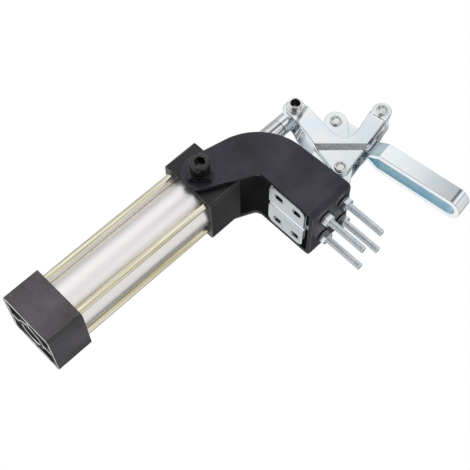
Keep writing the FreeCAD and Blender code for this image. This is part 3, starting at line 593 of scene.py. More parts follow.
    @classmethod
    def copies(cls, piece: Piece, moves: Iterable[Vector]) -> Piece:
        """Copies a piece to each place, each copy with its own mesh, and joins them.

        Args:
            piece: The piece, which takes the first move itself.
            moves: Where each one goes, in millimetres from the piece's own place.

        Returns:
            The joined piece.
        """
        first, *rest = moves
        others = []
        for move in rest:
            other = piece.copy()
            other.data = piece.data.copy()
            bpy.context.scene.collection.objects.link(other)
            other.data.transform(Matrix.Translation(move * MM))
            others.append(other)
        piece.data.transform(Matrix.Translation(first * MM))
        return cls.joined([piece, *others])

    @classmethod
    def joined(cls, pieces: Sequence[Piece]) -> Piece:
        """Joins pieces into the first one.

        Args:
            pieces: The pieces to join.

        Returns:
            The first piece, which holds them all.
        """
        cls.take(pieces[0])
        for piece in pieces[1:]:
            piece.select_set(True)
        bpy.ops.object.join()
        return pieces[0]

    @classmethod
    def thread(
        cls, name: str, radius: float, pitch: float, start: Vector, axis: Axis, length: float,
        steps: int = 20,
    ) -> Piece:
        """A screw thread's ridge: a small triangle swept round and along the axis.

        Args:
            name: The piece's name.
            radius: The thread's outer radius, in millimetres.
            pitch: The rise of one turn, in millimetres.
            start: The middle of its first end, in millimetres.
            axis: The axis that the screw stands along.
            length: The threaded length, in millimetres.
            steps: Faces round one turn.

        Returns:
            The piece.
        """
        root = radius - THREAD_DEPTH * pitch
        rise, fall = THREAD_CREST
        corners = [(root, 0.0), (radius, pitch * rise), (radius, pitch * fall), (root, pitch)]
        points = [Vector((r, 0.0, a)) * MM for r, a in corners]
        cls.clear()
        bpy.ops.mesh.primitive_plane_add(size=MM)
        piece = cls._fresh(name)
        for vertex, point in zip(piece.data.vertices, (points[0], points[1], points[3], points[2])):
            vertex.co = point
        cls.apply(
            piece, "SCREW", axis="Z", angle=FULL_TURN, screw_offset=pitch * MM, steps=steps,
            render_steps=steps, iterations=int(length / pitch), use_normal_calculate=True,
        )
        piece.matrix_world = axis.placing(start)
        cls.settle(piece)
        bpy.ops.object.mode_set(mode="EDIT")
        cls._close_up()
        bpy.ops.object.mode_set(mode="OBJECT")
        return piece

    @classmethod
    def bend(cls, piece: Piece, width: float, least: float = 18.0, most: float = 60.0) -> None:
        """Rounds the bends of a pressed plate and leaves its cut edges sharp.

        Args:
            piece: The piece that is changed.
            width: The rounding's width in millimetres.
            least: The smallest angle in degrees that counts as a bend.
            most: The largest one.
        """
        beside: dict[tuple[int, int], list[Vector]] = {}
        for face in piece.data.polygons:
            for key in face.edge_keys:
                beside.setdefault(key, []).append(face.normal.copy())
        weights = piece.data.attributes.new("bevel_weight_edge", "FLOAT", "EDGE")
        for edge in piece.data.edges:
            first, last = beside[edge.key][0], beside[edge.key][-1]
            weights.data[edge.index].value = float(least < math.degrees(first.angle(last)) < most)
        cls.apply(
            piece, "BEVEL", width=width * MM, segments=5, limit_method="WEIGHT", use_clamp_overlap=False,
        )
        piece.data.attributes.remove(piece.data.attributes["bevel_weight_edge"])

    @staticmethod
    def settle_corners(piece: Piece, node: Piece, reach: float) -> None:
        """Puts the corners where roundings ran into each other back on the solid's surface.

        Args:
            piece: The rounded piece.
            node: The solid that it was copied from.
            reach: How far from that surface a rounding may lie, in millimetres.
        """
        for vertex in piece.data.vertices:
            found, place, _, _ = node.closest_point_on_mesh(vertex.co)
            if found and (vertex.co - place).length > reach * MM:
                vertex.co = place

    @classmethod
    def from_node(
        cls, name: str, node: Piece, width: float, segments: int = 2, bend: float = 0.0,
        clamp: bool = False,
    ) -> Piece:
        """A pressed or cast piece: a copy of the solid's shape with its edges broken.

        Args:
            name: The piece's name.
            node: The solid that it stands for.
            width: The width of the broken edges, in millimetres.
            segments: Faces across a broken edge.
            bend: The width of the rounded bends, in millimetres.
            clamp: Whether short edges may narrow the broken edges.

        Returns:
            The piece.
        """
        piece = node.copy()
        piece.data = node.data.copy()
        piece.name = piece.data.name = name
        piece.parent = None
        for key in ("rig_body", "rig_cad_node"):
            if key in piece:
                del piece[key]
        piece.data.materials.clear()
        for face in piece.data.polygons:
            face.material_index = 0
        for _ in range(2):
            piece.data.materials.append(None)
        bpy.context.scene.collection.objects.link(piece)
        cls.take(piece)
        bpy.ops.object.mode_set(mode="EDIT")
        bpy.ops.mesh.select_all(action="SELECT")
        bpy.ops.mesh.remove_doubles(threshold=SAME_POINT)
        bpy.ops.mesh.dissolve_limited(angle_limit=SAME_PLANE)
        bpy.ops.object.mode_set(mode="OBJECT")
        if bend:
            cls.bend(piece, bend)
        cls.soften(piece, width, segments, clamp=clamp)
        cls.settle_corners(piece, node, CORNER_REACH * max(width, bend / 2.0))
        return piece


@dataclass
class SubAssembly:
    """Pieces that move together, on one body of the frame."""

    frame: dict
    body: str = ""
    made: list[str] = field(default_factory=list)

    def node(self, name: str) -> Piece:
        """A solid of the frame by name."""
        return self.frame["nodes"][name]

    def dress(
        self, piece: Piece, finish: Finish, nodes: Sequence[str], angle: float = 40.0,
        edge: Finish | None = None,
    ) -> None:
        """Gives a new piece its finish and its body, and hides the solids that it stands for.

        Args:
            piece: The finished piece.
            finish: Its finish.
            nodes: The solids that it stands for.
            angle: The angle in degrees up to which it is shaded smooth.
            edge: The finish of its broken edges, where it differs.
        """
        rims = [face.material_index for face in piece.data.polygons]
        piece.data.materials.clear()
        piece.data.materials.append(finish.material())
        if edge:
            piece.data.materials.append(edge.material())
        for face, rim in zip(piece.data.polygons, rims):
            face.material_index = min(rim, 1) if edge else 0
        Bench.smooth(piece, angle)
        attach(piece, self.body)
        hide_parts(*nodes)
        self.made.append(piece.name)

    def plates(
        self, name: str, stem: str, width: float, shade: float = 40.0, bend: float = 0.0
    ) -> list[Piece]:
        """The far and the near plate of a pair, in zinc with dark sheared edges.

        Args:
            name: What the new pieces' names begin with.
            stem: What the names of their solids begin with.
            width: The width of the broken edges, in millimetres.
            shade: The angle in degrees up to which they are shaded smooth.
            bend: The width of the rounded bends, in millimetres.

        Returns:
            Both plates.
        """
        pair = []
        for side in ("far", "near"):
            solid = f"{stem}_{side}"
            plate = Bench.from_node(f"{name}_{side}", self.node(solid), width, bend=bend)
            self.dress(plate, BLUE_ZINC, [solid], shade, SHEARED_EDGE)
            pair.append(plate)
        return pair

    @staticmethod
    def paint(piece: Piece, finish: Finish, chosen: Callable[[Face], bool]) -> None:
        """Gives some faces of a dressed piece another finish.

        Args:
            piece: The dressed piece.
            finish: The other finish.
            chosen: Says of a face whether it takes that finish.
        """
        piece.data.materials.append(finish.material())
        last = len(piece.data.materials) - 1
        for face in piece.data.polygons:
            if chosen(face):
                face.material_index = last

    def keep(self, names: Sequence[str], finish: Finish) -> None:
        """Gives solids that stay as they are their finish.

        Args:
            names: The solids' names.
            finish: Their finish.
        """
        for name in names:
            node = self.node(name)
            node.data.materials.clear()
            node.data.materials.append(finish.material())
            self.made.append(name)

    def build(self) -> None:
        """Builds and dresses all pieces of the sub-assembly."""
        raise NotImplementedError


def at(place: Place, y: float = 0.0) -> Vector:
    """A place of the side plane as a point, in millimetres."""
    return Vector((place[0], y, place[1]))


def ring_profile(bore: float, outer: float, low: float, high: float, corner: float = 0.2) -> Stations:
    """The profile of a ring whose outer edges are broken, in millimetres.

    Args:
        bore: Its inner radius.
        outer: Its outer radius.
        low: Where it starts along its axis.
        high: Where it ends.
        corner: The width of the broken edges.

    Returns:
        The stations.
    """
    return [
        (bore, low), (outer - corner, low), (outer, low + corner),
        (outer, high - corner), (outer - corner, high), (bore, high),
    ]


@dataclass
class AirCylinder(SubAssembly):
    """The tie-rod air cylinder with its trunnion, which swings in the yoke."""

    body: str = "cylinder"
    axis_x: float = TRUNNION[0]
    cap_edge: float = 0.5
    tube_edge: float = 0.3
    tab_edge: float = 0.3
    front_low: float = -45.4
    front_top: float = -14.1
    rear_top: float = -173.1
    rear_low: float = -205.5
    core_depth: float = 9.5
    highlight_rim_depth: float = 0.6
    barrel_r: float = 22.5
    bore_r: float = 20.0
    barrel_seat: float = 4.0
    rod_pitch: float = 37.6
    rod_r: float = 3.0
    rod_tail: float = 6.9
    rod_nose: float = 21.0
    screw_r: float = 5.0
    head_r: float = 8.0
    head_height: float = 10.0
    washer_in: float = 31.3
    washer: float = 1.8
    washer_r: float = 10.2
    tab_washer: float = 2.2
    nut_washer: float = 1.0
    nut_washer_r: float = 5.0
    tip_r: float = 2.4
    wiper_r: float = 12.0
    rod_hole_r: float = 8.05
    screw_tip: float = 14.0
    socket: float = 8.0
    socket_depth: float = 5.0

    def corners(self) -> list[Vector]:
        """The four tie rods' places round the cylinder's axis."""
        half = self.rod_pitch / 2.0
        return [Vector((sx * half, sy * half, 0.0)) for sx in (-1, 1) for sy in (-1, 1)]

    def foot(self, z: float = 0.0) -> Vector:
        """A point on the cylinder's axis."""
        return at((self.axis_x, z))

    def build(self) -> None:
        """Builds the caps, the barrel, the tie rods and the trunnion."""
        for end, finish in (("front", BLACK_CASTING), ("rear", REAR_CASTING)):
            cap = Bench.from_node(f"{end}_cap_casting", self.node(f"{end}_cap"), self.cap_edge, 3)
            self.dress(cap, finish, [f"{end}_cap"], edge=RUBBED_EDGE)
        rims = (self.rear_low + self.highlight_rim_depth) * MM
        # The rear cap's downward faces take painted shade.
        self.paint(cap, PAINTED_SHADE_BLACK, lambda face: face.material_index == 0 and face.normal.z < -FLAT)
        # Its broken edges near the rear end take a painted highlight.
        self.paint(cap, HIGHLIGHT_RIM, lambda face: face.material_index == 1 and face.center.z < rims)
        self._barrel()
        self._tie_rods()
        self._wiper()
        self._trunnion()
        self.keep(["barrel_seals"], SEAL_RUBBER)
        self.keep(["rod_bush", "trunnion_bushes"], BRONZE)

    def _barrel(self) -> None:
        """The drawn tube, whose outer edges are broken."""
        low = self.rear_top - self.barrel_seat
        high = self.front_low + self.barrel_seat
        profile = ring_profile(self.bore_r, self.barrel_r, low, high, self.tube_edge)
        tube = Bench.turned("barrel_tube", profile, self.foot(), Axis.UP, ring=True, steps=96)
        self.dress(tube, BARREL_ALLOY, ["barrel"])

    def _tie_rods(self) -> None:
        """Four tie rods with chamfered rear ends, and their nuts and washers in the rear cap."""
        seat = self.rear_low + self.core_depth
        low = seat - self.rod_tail
        high = self.front_low + self.rod_nose
        rod_r, tip_r = self.rod_r, self.tip_r
        stations = [(0.0, low), (tip_r, low), (rod_r, low + rod_r - tip_r), (rod_r, high), (0.0, high)]
        rod = Bench.turned("tie_rod_bars", stations, self.foot(), Axis.UP, steps=32)
        self.dress(Bench.copies(rod, self.corners()), GOLD_ZINC, ["tie_rods"])
        below, hole, outer = seat - self.nut_washer, rod_r + SLIP, self.nut_washer_r
        nut = M6_NUT.nut("tie_rod_hex_nuts", self.foot(below - M6_NUT.height), Axis.UP, True)
        ring = [(hole, below), (outer, below), (outer, seat), (hole, seat)]
        washer = Bench.turned("tie_rod_washer", ring, self.foot(), Axis.UP, ring=True, steps=32)
        nuts = Bench.copies(Bench.joined([nut, washer]), self.corners())
        self.dress(nuts, BLACK_OXIDE, ["tie_rod_nuts"])

    def _wiper(self) -> None:
        """The rod's seal, whose lip stands above the cap."""
        top, hole, outer = self.front_top, self.rod_hole_r, self.wiper_r
        stations = [
            (hole, top - 6.0), (outer, top - 6.0), (outer, top), (11.4, top + 0.9),
            (9.8, top + 2.2), (9.2, top + 3.0), (8.6, top + 2.9), (hole, top + 2.2),
        ]
        seal = Bench.turned("rod_wiper", stations, self.foot(), Axis.UP, ring=True)
        self.dress(seal, SEAL_RUBBER, ["rod_seal"], 50.0)

    def _trunnion(self) -> None:
        """Socket head screws, flat washers and tab washers on both sides."""
        y = self.washer_in
        flat = ring_profile(self.screw_r + SLIP, self.washer_r, y, y + self.washer)
        washers = Bench.pair("flat_washer_rings", flat, at(TRUNNION), True, 64)
        self.dress(washers, BLACK_OXIDE, ["flat_washers"])
        tabs = Bench.from_node("tab_washer_rings", self.node("tab_washers"), self.tab_edge, clamp=True)
        self.dress(tabs, BLACK_OXIDE, ["tab_washers"])
        seat = y + self.washer + self.tab_washer
        top = seat + self.head_height
        r, shank, tip = self.head_r, self.screw_r, self.screw_tip
        stations = [
            (0.0, tip), (shank - 0.5, tip), (shank, tip + 0.6), (shank, seat), (r - 0.3, seat),
            (r, seat + 0.3), (r, top - 1.1), (r - 0.35, top - 0.5), (r - 1.0, top - 0.1), (r - 1.5, top),
            (0.0, top),
        ]
        screws = [self._screw(stations, top, side) for side in (1, -1)]
        self.dress(Bench.joined(screws), BLACK_OXIDE, ["trunnion_screws"])

    def _screw(self, stations: Stations, top: float, side: int) -> Piece:
        """One socket head screw.

        Args:
            stations: The screw's profile, from the middle plane outwards.
            top: The outer face of its head.
            side: 1 for the far side, -1 for the near one.

        Returns:
            The piece.
        """
        outline = [(r, side * a) for r, a in stations]
        screw = Bench.turned("socket_head_screws", outline, at(TRUNNION), Axis.ACROSS, steps=64)
        depth, past = self.socket_depth, 1.0
        start = top - depth if side > 0 else -top - past
        socket = Bench.hexagon("socket", self.socket, at(TRUNNION, start), Axis.ACROSS, depth + past)
        Bench.cut(screw, socket)
        return screw


@dataclass
class NutMaker:
    """Hexagonal nuts with a chamfered outer face."""

    flats: float
    height: float
    bore_r: float
    chamfer: float = 0.95
    slope: float = 0.55
    mouth: float = 0.4
    past: float = 1.0

    def nut(self, name: str, start: Vector, axis: Axis, chamfer_low: bool = False) -> Piece:
        """One nut.

        Args:
            name: The piece's name.
            start: The middle of its first face, in millimetres.
            axis: The axis that the nut stands along.
            chamfer_low: Whether the first face has the chamfer too.

        Returns:
            The piece.
        """
        corner = self.flats / math.sqrt(3.0)
        flat_r = self.flats / 2.0 * self.chamfer
        outer = corner + 0.5
        rise = (outer - flat_r) * self.slope
        top, past = self.height, self.past
        low = [(flat_r, 0.0), (outer, rise)] if chamfer_low else [(outer, 0.0)]
        stations = [(0.0, 0.0), *low, (outer, top - rise), (flat_r, top), (0.0, top)]
        body = Bench.hexagon(name, self.flats, start - axis.along * past, axis, top + 2.0 * past)
        Bench.cut(body, Bench.turned("chamfer", stations, start, axis, steps=64), "INTERSECT")
        bore = self.bore_r + SLIP
        wide = bore + past + self.mouth
        drill = [
            (0.0, -past), (wide, -past), (bore, self.mouth), (bore, top - self.mouth),
            (wide, top + past), (0.0, top + past),
        ]
        Bench.cut(body, Bench.turned("drill", drill, start, axis))
        Bench.soften(body, 0.12, 1, 25.0)
        return body


M6_NUT = NutMaker(10.0, 4.9, 3.0)


@dataclass
class PistonRod(SubAssembly):
    """The rod with its eye, and the piston hidden in the barrel."""

    body: str = "rod"
    axis_x: float = ROD_PIN[0]
    eye_edge: float = 0.25
    rod_r: float = 8.0
    piston_top: float = -54.4
    piston_low: float = -82.4
    shoulder: float = 56.5
    spigot_r: float = 5.0
    spigot: float = 10.0
    tail: float = 9.0
    chamfer: float = 0.8

    def build(self) -> None:
        """Builds the rod and its eye, and finishes the hidden pieces."""
        low, seat = self.piston_low - self.tail, self.piston_top
        top, tip = self.shoulder, self.shoulder + self.spigot
        r, thin = self.rod_r, self.spigot_r
        stations = [
            (0.0, low), (thin, low), (thin, seat), (r, seat), (r, top - self.chamfer),
            (r - self.chamfer, top), (thin, top), (thin, tip), (0.0, tip),
        ]
        rod = Bench.turned("chromed_rod", stations, at((self.axis_x, 0.0)), Axis.UP, steps=64)
        self.dress(rod, ROD_CHROME, ["piston_rod"])
        eye = Bench.from_node("rod_end_eye", self.node("rod_eye"), self.eye_edge, clamp=True)
        self.dress(eye, BLUE_ZINC, ["rod_eye"])
        self.keep(["rod_pin_middle"], RIVET_STEEL)
        self.keep(["piston"], PISTON_ALLOY)
        self.keep(["piston_seals", "piston_guide_ring"], SEAL_RUBBER)
        self.keep(["piston_nut"], BLUE_ZINC)


@dataclass
class RivetMaker:
    """Domed rivet heads with the dimple that setting leaves."""

    head_r: float = 5.2
    head: float = 2.0
    dish_share: float = 0.65

    def crown(self, seat: float) -> list[tuple[float, float]]:
        """The profile of one head, from its seat to its middle.

        Args:
            seat: The height that it sits on.

        Returns:
            The stations.
        """
        r, h = self.head_r, self.head
        dish = self.dish_share * r
        return [
            (r, seat), (r, seat + 0.30 * h), (r - 0.12, seat + 0.52 * h), (r - 0.4, seat + 0.78 * h),
            (r - 0.8, seat + 0.94 * h), (r - 1.15, seat + h), (dish + 0.35, seat + 0.98 * h),
            (dish + 0.05, seat + 0.88 * h), (dish - 0.25, seat + 0.35 * h), (dish - 0.7, seat + 0.2 * h),
            (dish - 1.4, seat + 0.16 * h), (0.0, seat + 0.3 * h),
        ]

    def through(self, name: str, place: Place, shank_r: float, seat: float) -> Piece:
        """A rivet right through, with a head on each side.

        Args:
            name: The piece's name.
            place: Its place in the side plane.
            shank_r: The shank's radius.
            seat: The distance of each head's seat from the middle plane.

        Returns:
            The piece.
        """
        upper = self.crown(seat)
        lower = [(r, -a) for r, a in reversed(upper)]
        stations = [*lower, (shank_r, -seat), (shank_r, seat), *upper]
        return Bench.turned(name, stations, at(place), Axis.ACROSS, steps=48)


@dataclass
class ClampFrame(SubAssembly):
    """The yoke, the two base halves, the bolts and the fixed rivets."""

    body: str = "clamp_frame"
    yoke_edge: float = 0.5
    base_edge: float = 0.35
    base_shade: float = 20.0
    face_x: float = 26.0
    stud_end: float = 66.0
    head_x: float = 15.0
    bolt_pitch_y: float = 28.0
    bolt_pitch_z: float = 20.5
    bolt_mid_z: float = 25.1
    web_out: float = 8.3
    crank_seat: float = 11.9
    spacer: float = 5.3
    washer: float = 1.0
    sole_top: float = 4.6
    sole_level: float = 0.95
    stud_r: float = 3.0
    stud_core_r: float = 2.45
    thread_x: float = 25.0
    thread_pitch: float = 1.0
    thread_length: float = 40.0
    head_flats: float = 10.0
    head_height: float = 4.0
    washer_r: float = 6.0
    rivet_r: float = 4.0
    spacer_r: float = 6.4

    def build(self) -> None:
        """Builds the bracket, the base, the fasteners and the rivets."""
        yoke = Bench.from_node("bent_yoke", self.node("yoke_bracket"), self.yoke_edge, 3)
        self.dress(yoke, BLACK_SHEET, ["yoke_bracket"], edge=RUBBED_EDGE)
        # The yoke's inward and downward faces take painted shade.
        self.paint(yoke, PAINTED_SHADE_BLACK, self._in_painted_shade)
        # The base's downward sole faces take painted shade.
        for half in self.plates("stamped_base", "base_half", self.base_edge, self.base_shade):
            self.paint(half, PAINTED_SHADE_FLANGE_ZINC, self._sole_in_painted_shade)
        self._fasteners()
        self._rivets()

    @staticmethod
    def _in_painted_shade(face: Face) -> bool:
        """Whether a face of the yoke looks inwards or down, where it takes painted shade."""
        inwards = face.normal.y * face.center.y < 0.0 and abs(face.normal.y) > FLAT
        return face.material_index == 0 and (inwards or face.normal.z < -FLAT)

    def _sole_in_painted_shade(self, face: Face) -> bool:
        """Whether a face of the base lies flat on what the clamp is bolted to; these faces take painted
        shade.
        """
        return face.center.z < self.sole_top * MM and face.normal.z < -self.sole_level

    def bolt_moves(self) -> list[Vector]:
        """The four bolts' places round the middle of the pattern."""
        y, z = self.bolt_pitch_y / 2.0, self.bolt_pitch_z / 2.0
        return [Vector((0.0, sy * y, sz * z)) for sy in (-1, 1) for sz in (-1, 1)]

    def _fasteners(self) -> None:
        """The long studs with their heads, washers and nuts."""
        foot = at((0.0, self.bolt_mid_z))
        r, core_r, first, end = self.stud_r, self.stud_core_r, self.thread_x, self.stud_end
        inside, point = self.head_x + 1.0, 0.5
        core = [
            (0.0, inside), (r, inside), (r, first), (core_r, first + 0.6),
            (core_r, end - point), (core_r - 0.45, end), (0.0, end),
        ]
        shank = Bench.turned("stud_bolts", core, foot, Axis.FORWARD, steps=24)
        root = at((first + 0.5, self.bolt_mid_z))
        thread = Bench.thread("stud_thread", r, self.thread_pitch, root, Axis.FORWARD, self.thread_length)
        back = at((self.head_x, self.bolt_mid_z))
        head = Bench.hexagon("stud_head", self.head_flats, back, Axis.FORWARD, self.head_height)
        Bench.soften(head, 0.25)
        studs = Bench.copies(Bench.joined([shank, thread, head]), self.bolt_moves())
        self.dress(studs, STUD_ZINC, ["mounting_bolts"])
        x, seat = self.face_x, self.face_x + self.washer
        ring = ring_profile(r + SLIP, self.washer_r, x, seat, 0.15)
        washer = Bench.turned("stud_washers", ring, foot, Axis.FORWARD, ring=True)
        self.dress(Bench.copies(washer, self.bolt_moves()), BLACK_OXIDE, ["mounting_washers"])
        nut = M6_NUT.nut("stud_nuts", at((seat, self.bolt_mid_z)), Axis.FORWARD)
        self.dress(Bench.copies(nut, self.bolt_moves()), BLUE_ZINC, ["mounting_nuts"])

    def _rivets(self) -> None:
        """The rivet of the arm, and the crank's rivet with its spacer."""
        maker = RivetMaker()
        arm = maker.through("arm_pivot_rivet", ARM_PIVOT, self.rivet_r, self.web_out)
        self.dress(arm, RIVET_STEEL, ["arm_rivet"], RIVET_SHADE)
        crank = maker.through("crank_pivot_rivet", CRANK_PIVOT, self.rivet_r, self.crank_seat)
        self.dress(crank, RIVET_STEEL, ["crank_rivet"], RIVET_SHADE)
        ring = ring_profile(self.rivet_r + SLIP, self.spacer_r, -self.spacer, self.spacer)
        spacer = Bench.turned("crank_spacer_tube", ring, at(CRANK_PIVOT), Axis.ACROSS, ring=True)
        self.dress(spacer, RIVET_STEEL, ["crank_spacer"])


@dataclass
class BellCrank(SubAssembly):
    """The pair of joggled plates between the rod and the link."""

    body: str = "crank"
    edge: float = 0.45
    bend: float = 1.1
    shade: float = 11.0
    plate_in: float = 8.6
    plate_out: float = 11.6
    pin_reach: float = 17.0
    pin_r: float = 5.3
    pin_bore_r: float = 4.1
    collar_r: float = 6.8
    collar: float = 1.5
    rivet_r: float = 3.0
    slope: tuple[float, float] = (0.6, 0.96)
    slope_area: float = 20.0
    bore_margin: float = 0.05

    def build(self) -> None:
        """Builds the plates, the rod pin's ends and the link's rivet."""
        for plate in self.plates("bell_crank", "crank_plate", self.edge, self.shade, self.bend):
            self.paint(plate, DRAWN_BEND, self._sloping)
        tip, low, out = self.pin_reach, self.plate_in, self.plate_out
        pin, bore = self.pin_r, self.pin_bore_r
        collar = ring_profile(pin, self.collar_r, out, out + self.collar)
        stations = [
            (bore, low), (pin, low), *collar,
            (pin, tip - 0.4), (pin - 0.3, tip), (bore + 0.3, tip), (bore, tip - 0.3),
        ]
        tubes = Bench.pair("rod_pin_tubes", stations, at(ROD_PIN), True)
        self.dress(tubes, RIVET_STEEL, ["rod_pin_ends"])
        # The bore's wall takes painted shade.
        self.paint(tubes, BORE_SHADE, self._in_bore)
        rivet = RivetMaker().through("link_top_rivet", LINK_PIVOT, self.rivet_r, out)
        self.dress(rivet, RIVET_STEEL, ["link_rivet"], RIVET_SHADE)

    def _sloping(self, face: Face) -> bool:
        """Whether a face is one of the large ones of the joggle's slope."""
        least, most = self.slope
        return least < abs(face.normal.y) < most and face.area > self.slope_area * MM * MM

    def _in_bore(self, face: Face) -> bool:
        """Whether a face belongs to the wall of the rod pin's bore, which takes painted shade."""
        middle = face.center / MM
        return (middle - at(ROD_PIN, middle.y)).length < self.pin_bore_r + self.bore_margin


@dataclass
class Links(SubAssembly):
    """The pair of links between the crank and the arm."""

    body: str = "link"
    edge: float = 0.3
    foot_head_r: float = 4.6
    plate_in: float = 5.3
    plate_out: float = 8.3
    rivet_r: float = 3.0
    spacer_r: float = 5.4

    def build(self) -> None:
        """Builds the plates, the spacer and the lower rivet's ends."""
        self.plates("link_strap", "link_plate", self.edge)
        low, out, r = self.plate_in, self.plate_out, self.rivet_r
        ring = ring_profile(r + SLIP, self.spacer_r, -low, low)
        spacer = Bench.turned("link_spacer_tube", ring, at(LINK_PIVOT), Axis.ACROSS, ring=True)
        self.dress(spacer, RIVET_STEEL, ["link_spacer"])
        crown = RivetMaker(self.foot_head_r).crown(out)
        stations = [(0.0, low), (r, low), (r, out), *crown]
        rivet = Bench.pair("link_foot_rivet", stations, at(LINK_FOOT))
        self.dress(rivet, RIVET_STEEL, ["link_rivet_ends"], RIVET_SHADE)


@dataclass
class ClampArm(SubAssembly):
    """The arm, one strip on edge bent to a U."""

    body: str = "arm"
    edge: float = 0.3
    shade: float = 30.0
    inner_y: float = 6.2
    neck_slope: float = -0.15
    steep: float = 0.5

    def build(self) -> None:
        """Builds the bar and finishes the pin inside it."""
        bar = Bench.from_node("u_shaped_bar", self.node("u_bar"), self.edge)
        self.dress(bar, BLUE_ZINC, ["u_bar"], self.shade, SHEARED_EDGE)
        # The faces where the bar narrows to the neck take painted shade.
        self.paint(bar, PAINTED_SHADE_ZINC, self._neck_in_painted_shade)
        # The inner side of the U takes a painted blue reflection.
        self.paint(bar, PAINTED_REFLECTION_ZINC, self._in_painted_reflection)
        self.keep(["arm_pin"], RIVET_STEEL)

    def _neck_in_painted_shade(self, face: Face) -> bool:
        """Whether a face is on the bar's outer side where it narrows to the neck; these faces take painted
        shade.
        """
        return face.normal.x < self.neck_slope and abs(face.normal.z) < self.steep

    def _in_painted_reflection(self, face: Face) -> bool:
        """Whether a face is on the inner side of the U; these faces take a painted blue reflection."""
        y = face.center.y / MM
        return abs(y) < self.inner_y and face.normal.y * y < -self.steep * abs(y)


@dataclass(frozen=True)
class Patch:
    """A round patch of the surround with a tone of its own and a soft rim."""

    way: Triple
    edge: float
    middle: float
    tone: Triple
    depth: float = 1.0


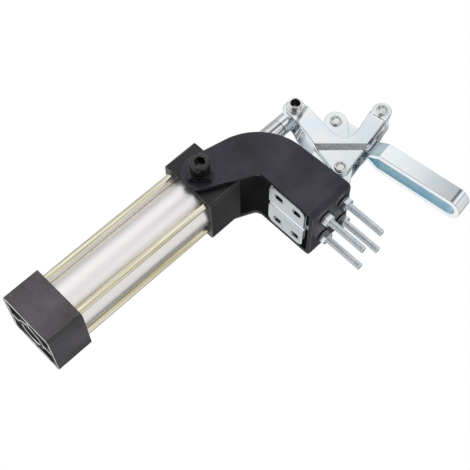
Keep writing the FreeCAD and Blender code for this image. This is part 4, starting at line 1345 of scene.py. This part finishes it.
@dataclass
class Studio:
    """The pale floor, the white surround, the soft lamps and the camera."""

    floor_z: float = -0.43
    floor_side: float = 6.0
    floor_tone: Triple = (0.86, 0.86, 0.86)
    floor_glow: float = 0.7
    middle: Vector = field(default_factory=lambda: Vector((-0.02, 0.0, -0.05)))
    bright_way: Triple = (-0.25, -0.91, 0.33)
    bright_range: tuple[float, float] = (-0.9, 0.76)
    strip_azimuth: float = 47.0
    strip_half: float = 0.14
    strip_depth: float = 0.5
    strip_core: float = 0.4
    strip_fade: float = 0.3
    patches: tuple[Patch, ...] = (
        Patch((-0.35, 0.88, -0.33), 0.55, 0.90, (0.95, 0.96, 0.98)),
        Patch((0.22, -0.86, -0.46), 0.82, 0.95, (0.13, 0.13, 0.145)),
        Patch((-0.95, -0.10, 0.35), 0.72, 0.97, (0.30, 0.31, 0.33), 0.6),
        Patch((0.80, 0.45, 0.22), 0.82, 0.97, (0.85, 0.84, 0.82), 0.85),
        Patch((0.30, 0.90, 0.26), 0.94, 0.985, (0.08, 0.08, 0.085), 0.8),
        Patch((-0.36, -0.30, -0.87), 0.75, 0.93, (1.0, 1.0, 1.0)),
        Patch((0.93, -0.28, 0.25), 0.92, 0.985, (1.0, 0.99, 0.97), 0.8),
        Patch((-0.06, -0.85, 0.52), 0.958, 0.995, (0.25, 0.26, 0.28), 0.8),
        Patch((0.05, -0.85, 0.53), 0.972, 0.995, (0.06, 0.06, 0.07), 0.9),
    )
    lamps: tuple[tuple[str, Triple, float, float], ...] = (
        ("key_lamp", (-0.52, -0.62, 0.60), 1.0, 5.6),
        ("front_fill", (0.55, -0.80, 0.10), 1.2, 0.2),
        ("back_rim", (0.30, 0.80, 0.55), 1.2, 2.0),
    )
    lamp_side: float = 0.8
    far_tone: Triple = (0.38, 0.39, 0.41)
    low_tone: Triple = (0.13, 0.13, 0.145)
    soft_tone: Triple = (0.95, 0.97, 1.0)
    soft_strength: float = 0.2
    lens: float = 77.02
    camera_place: Triple = (0.2533, -0.6875, -0.2944)
    camera_right: Triple = (0.6995, 0.0108, 0.7146)
    camera_up: Triple = (-0.6252, -0.4752, 0.6191)

    def build(self) -> None:
        """Sets up everything round the clamp."""
        self._floor()
        self._world()
        self._lamps()
        self._camera()
        bpy.context.scene.view_settings.view_transform = "Standard"

    def _floor(self) -> None:
        """A plain pale floor below the clamp."""
        Bench.clear()
        bpy.ops.mesh.primitive_plane_add(size=self.floor_side, location=(0.0, 0.0, self.floor_z))
        floor = bpy.context.object
        floor.name = "studio_floor"
        Bench.settle(floor)
        paint = bpy.data.materials.new("pale_floor")
        paint.use_nodes = True
        board = Board(paint.node_tree)
        matt = board.add("ShaderNodeBsdfDiffuse", None, {"Color": (*self.floor_tone, 1.0)})
        white = board.add("ShaderNodeEmission", None, {"Color": WHITE, "Strength": 1.0})
        seen = board.number(board.add("ShaderNodeLightPath"), "Is Camera Ray") * self.floor_glow
        paler = board.add("ShaderNodeMixShader", None, {0: seen, 1: matt.outputs[0], 2: white.outputs[0]})
        board.add("ShaderNodeOutputMaterial", None, {"Surface": paler.outputs[0]})
        floor.data.materials.append(paint)
        floor.visible_glossy = False

    def _world(self) -> None:
        """White to the eye; in reflections, one broad white field on the camera's side that falls to grey."""
        world = bpy.data.worlds.new("white_surround")
        bpy.context.scene.world = world
        world.use_nodes = True
        board = Board(world.node_tree)
        path = board.add("ShaderNodeLightPath")
        mirrored = board.number(path, "Is Glossy Ray").over(board.number(path, "Is Transmission Ray"))
        bright = board.spread(board.facing(self.bright_way), *self.bright_range)
        tone = board.blend(bright, self.far_tone, WHITE[:3])
        for patch in self.patches:
            share = board.spread(board.facing(patch.way), patch.edge, patch.middle, "SMOOTHSTEP")
            tone = board.blend(share * patch.depth, tone, patch.tone)
        tone = board.blend(self._strip(board) * self.strip_depth, tone, self.low_tone)
        white, shown, soft = (
            board.add("ShaderNodeBackground", None, {"Color": colour, "Strength": strength}).outputs[0]
            for colour, strength in (
                (WHITE, 1.0), (tone, 1.0), ((*self.soft_tone, 1.0), self.soft_strength),
            )
        )
        lit = board.add("ShaderNodeMixShader", None, {0: mirrored, 1: soft, 2: shown})
        seen = board.number(path, "Is Camera Ray")
        either = board.add("ShaderNodeMixShader", None, {0: seen, 1: lit.outputs[0], 2: white})
        board.add("ShaderNodeOutputWorld", None, {"Surface": either.outputs[0]})

    def _strip(self, board: Board) -> Quantity:
        """An upright strip of the surround, as a dark flag beside a softbox stands in it.

        Args:
            board: The world's board.

        Returns:
            The share, from 0 outside to 1 in the middle.
        """
        turn = math.radians(self.strip_azimuth)
        aside = board.facing((math.cos(turn), math.sin(turn), 0.0))
        ahead = board.facing((math.sin(turn), -math.cos(turn), 0.0))
        rim, core = self.strip_half, self.strip_half * self.strip_core
        narrow = board.spread(aside.over(0.0 - aside), rim, core, "SMOOTHSTEP")
        return narrow * board.spread(ahead, 0.0, self.strip_fade)

    def _lamps(self) -> None:
        """A square lamp from the top of the picture and two fills, all facing the clamp."""
        for name, way, distance, watts in self.lamps:
            light = bpy.data.lights.new(name, "AREA")
            light.size = self.lamp_side
            light.energy = watts
            lamp = bpy.data.objects.new(name, light)
            bpy.context.scene.collection.objects.link(lamp)
            towards = Vector(way).normalized()
            lamp.location = self.middle + towards * distance
            lamp.visible_glossy = False
            lamp.rotation_euler = towards.to_track_quat("Z", "Y").to_euler()

    def _camera(self) -> None:
        """The camera that was solved from the photograph's straight edges."""
        lens = bpy.data.cameras.new("photo_camera")
        lens.sensor_width = 36.0
        lens.lens = self.lens
        lens.clip_start = 0.01
        camera = bpy.data.objects.new("photo_camera", lens)
        bpy.context.scene.collection.objects.link(camera)
        right, upward = Vector(self.camera_right), Vector(self.camera_up)
        turn = Matrix((right, upward, right.cross(upward))).transposed().to_4x4()
        camera.matrix_world = Matrix.Translation(Vector(self.camera_place)) @ turn
        bpy.context.scene.camera = camera


def main() -> None:
    """Builds the clamp's sub-assemblies in order, then the studio."""
    logging.basicConfig(level=logging.INFO, format="%(message)s")
    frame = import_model()
    order: list[type[SubAssembly]] = [AirCylinder, PistonRod, ClampFrame, BellCrank, Links, ClampArm]
    for maker in order:
        assembly = maker(frame)
        assembly.build()
        for name in assembly.made:
            log.info("%s: %s", assembly.body, name)
    Studio().build()


if __name__ == "__main__":
    main()
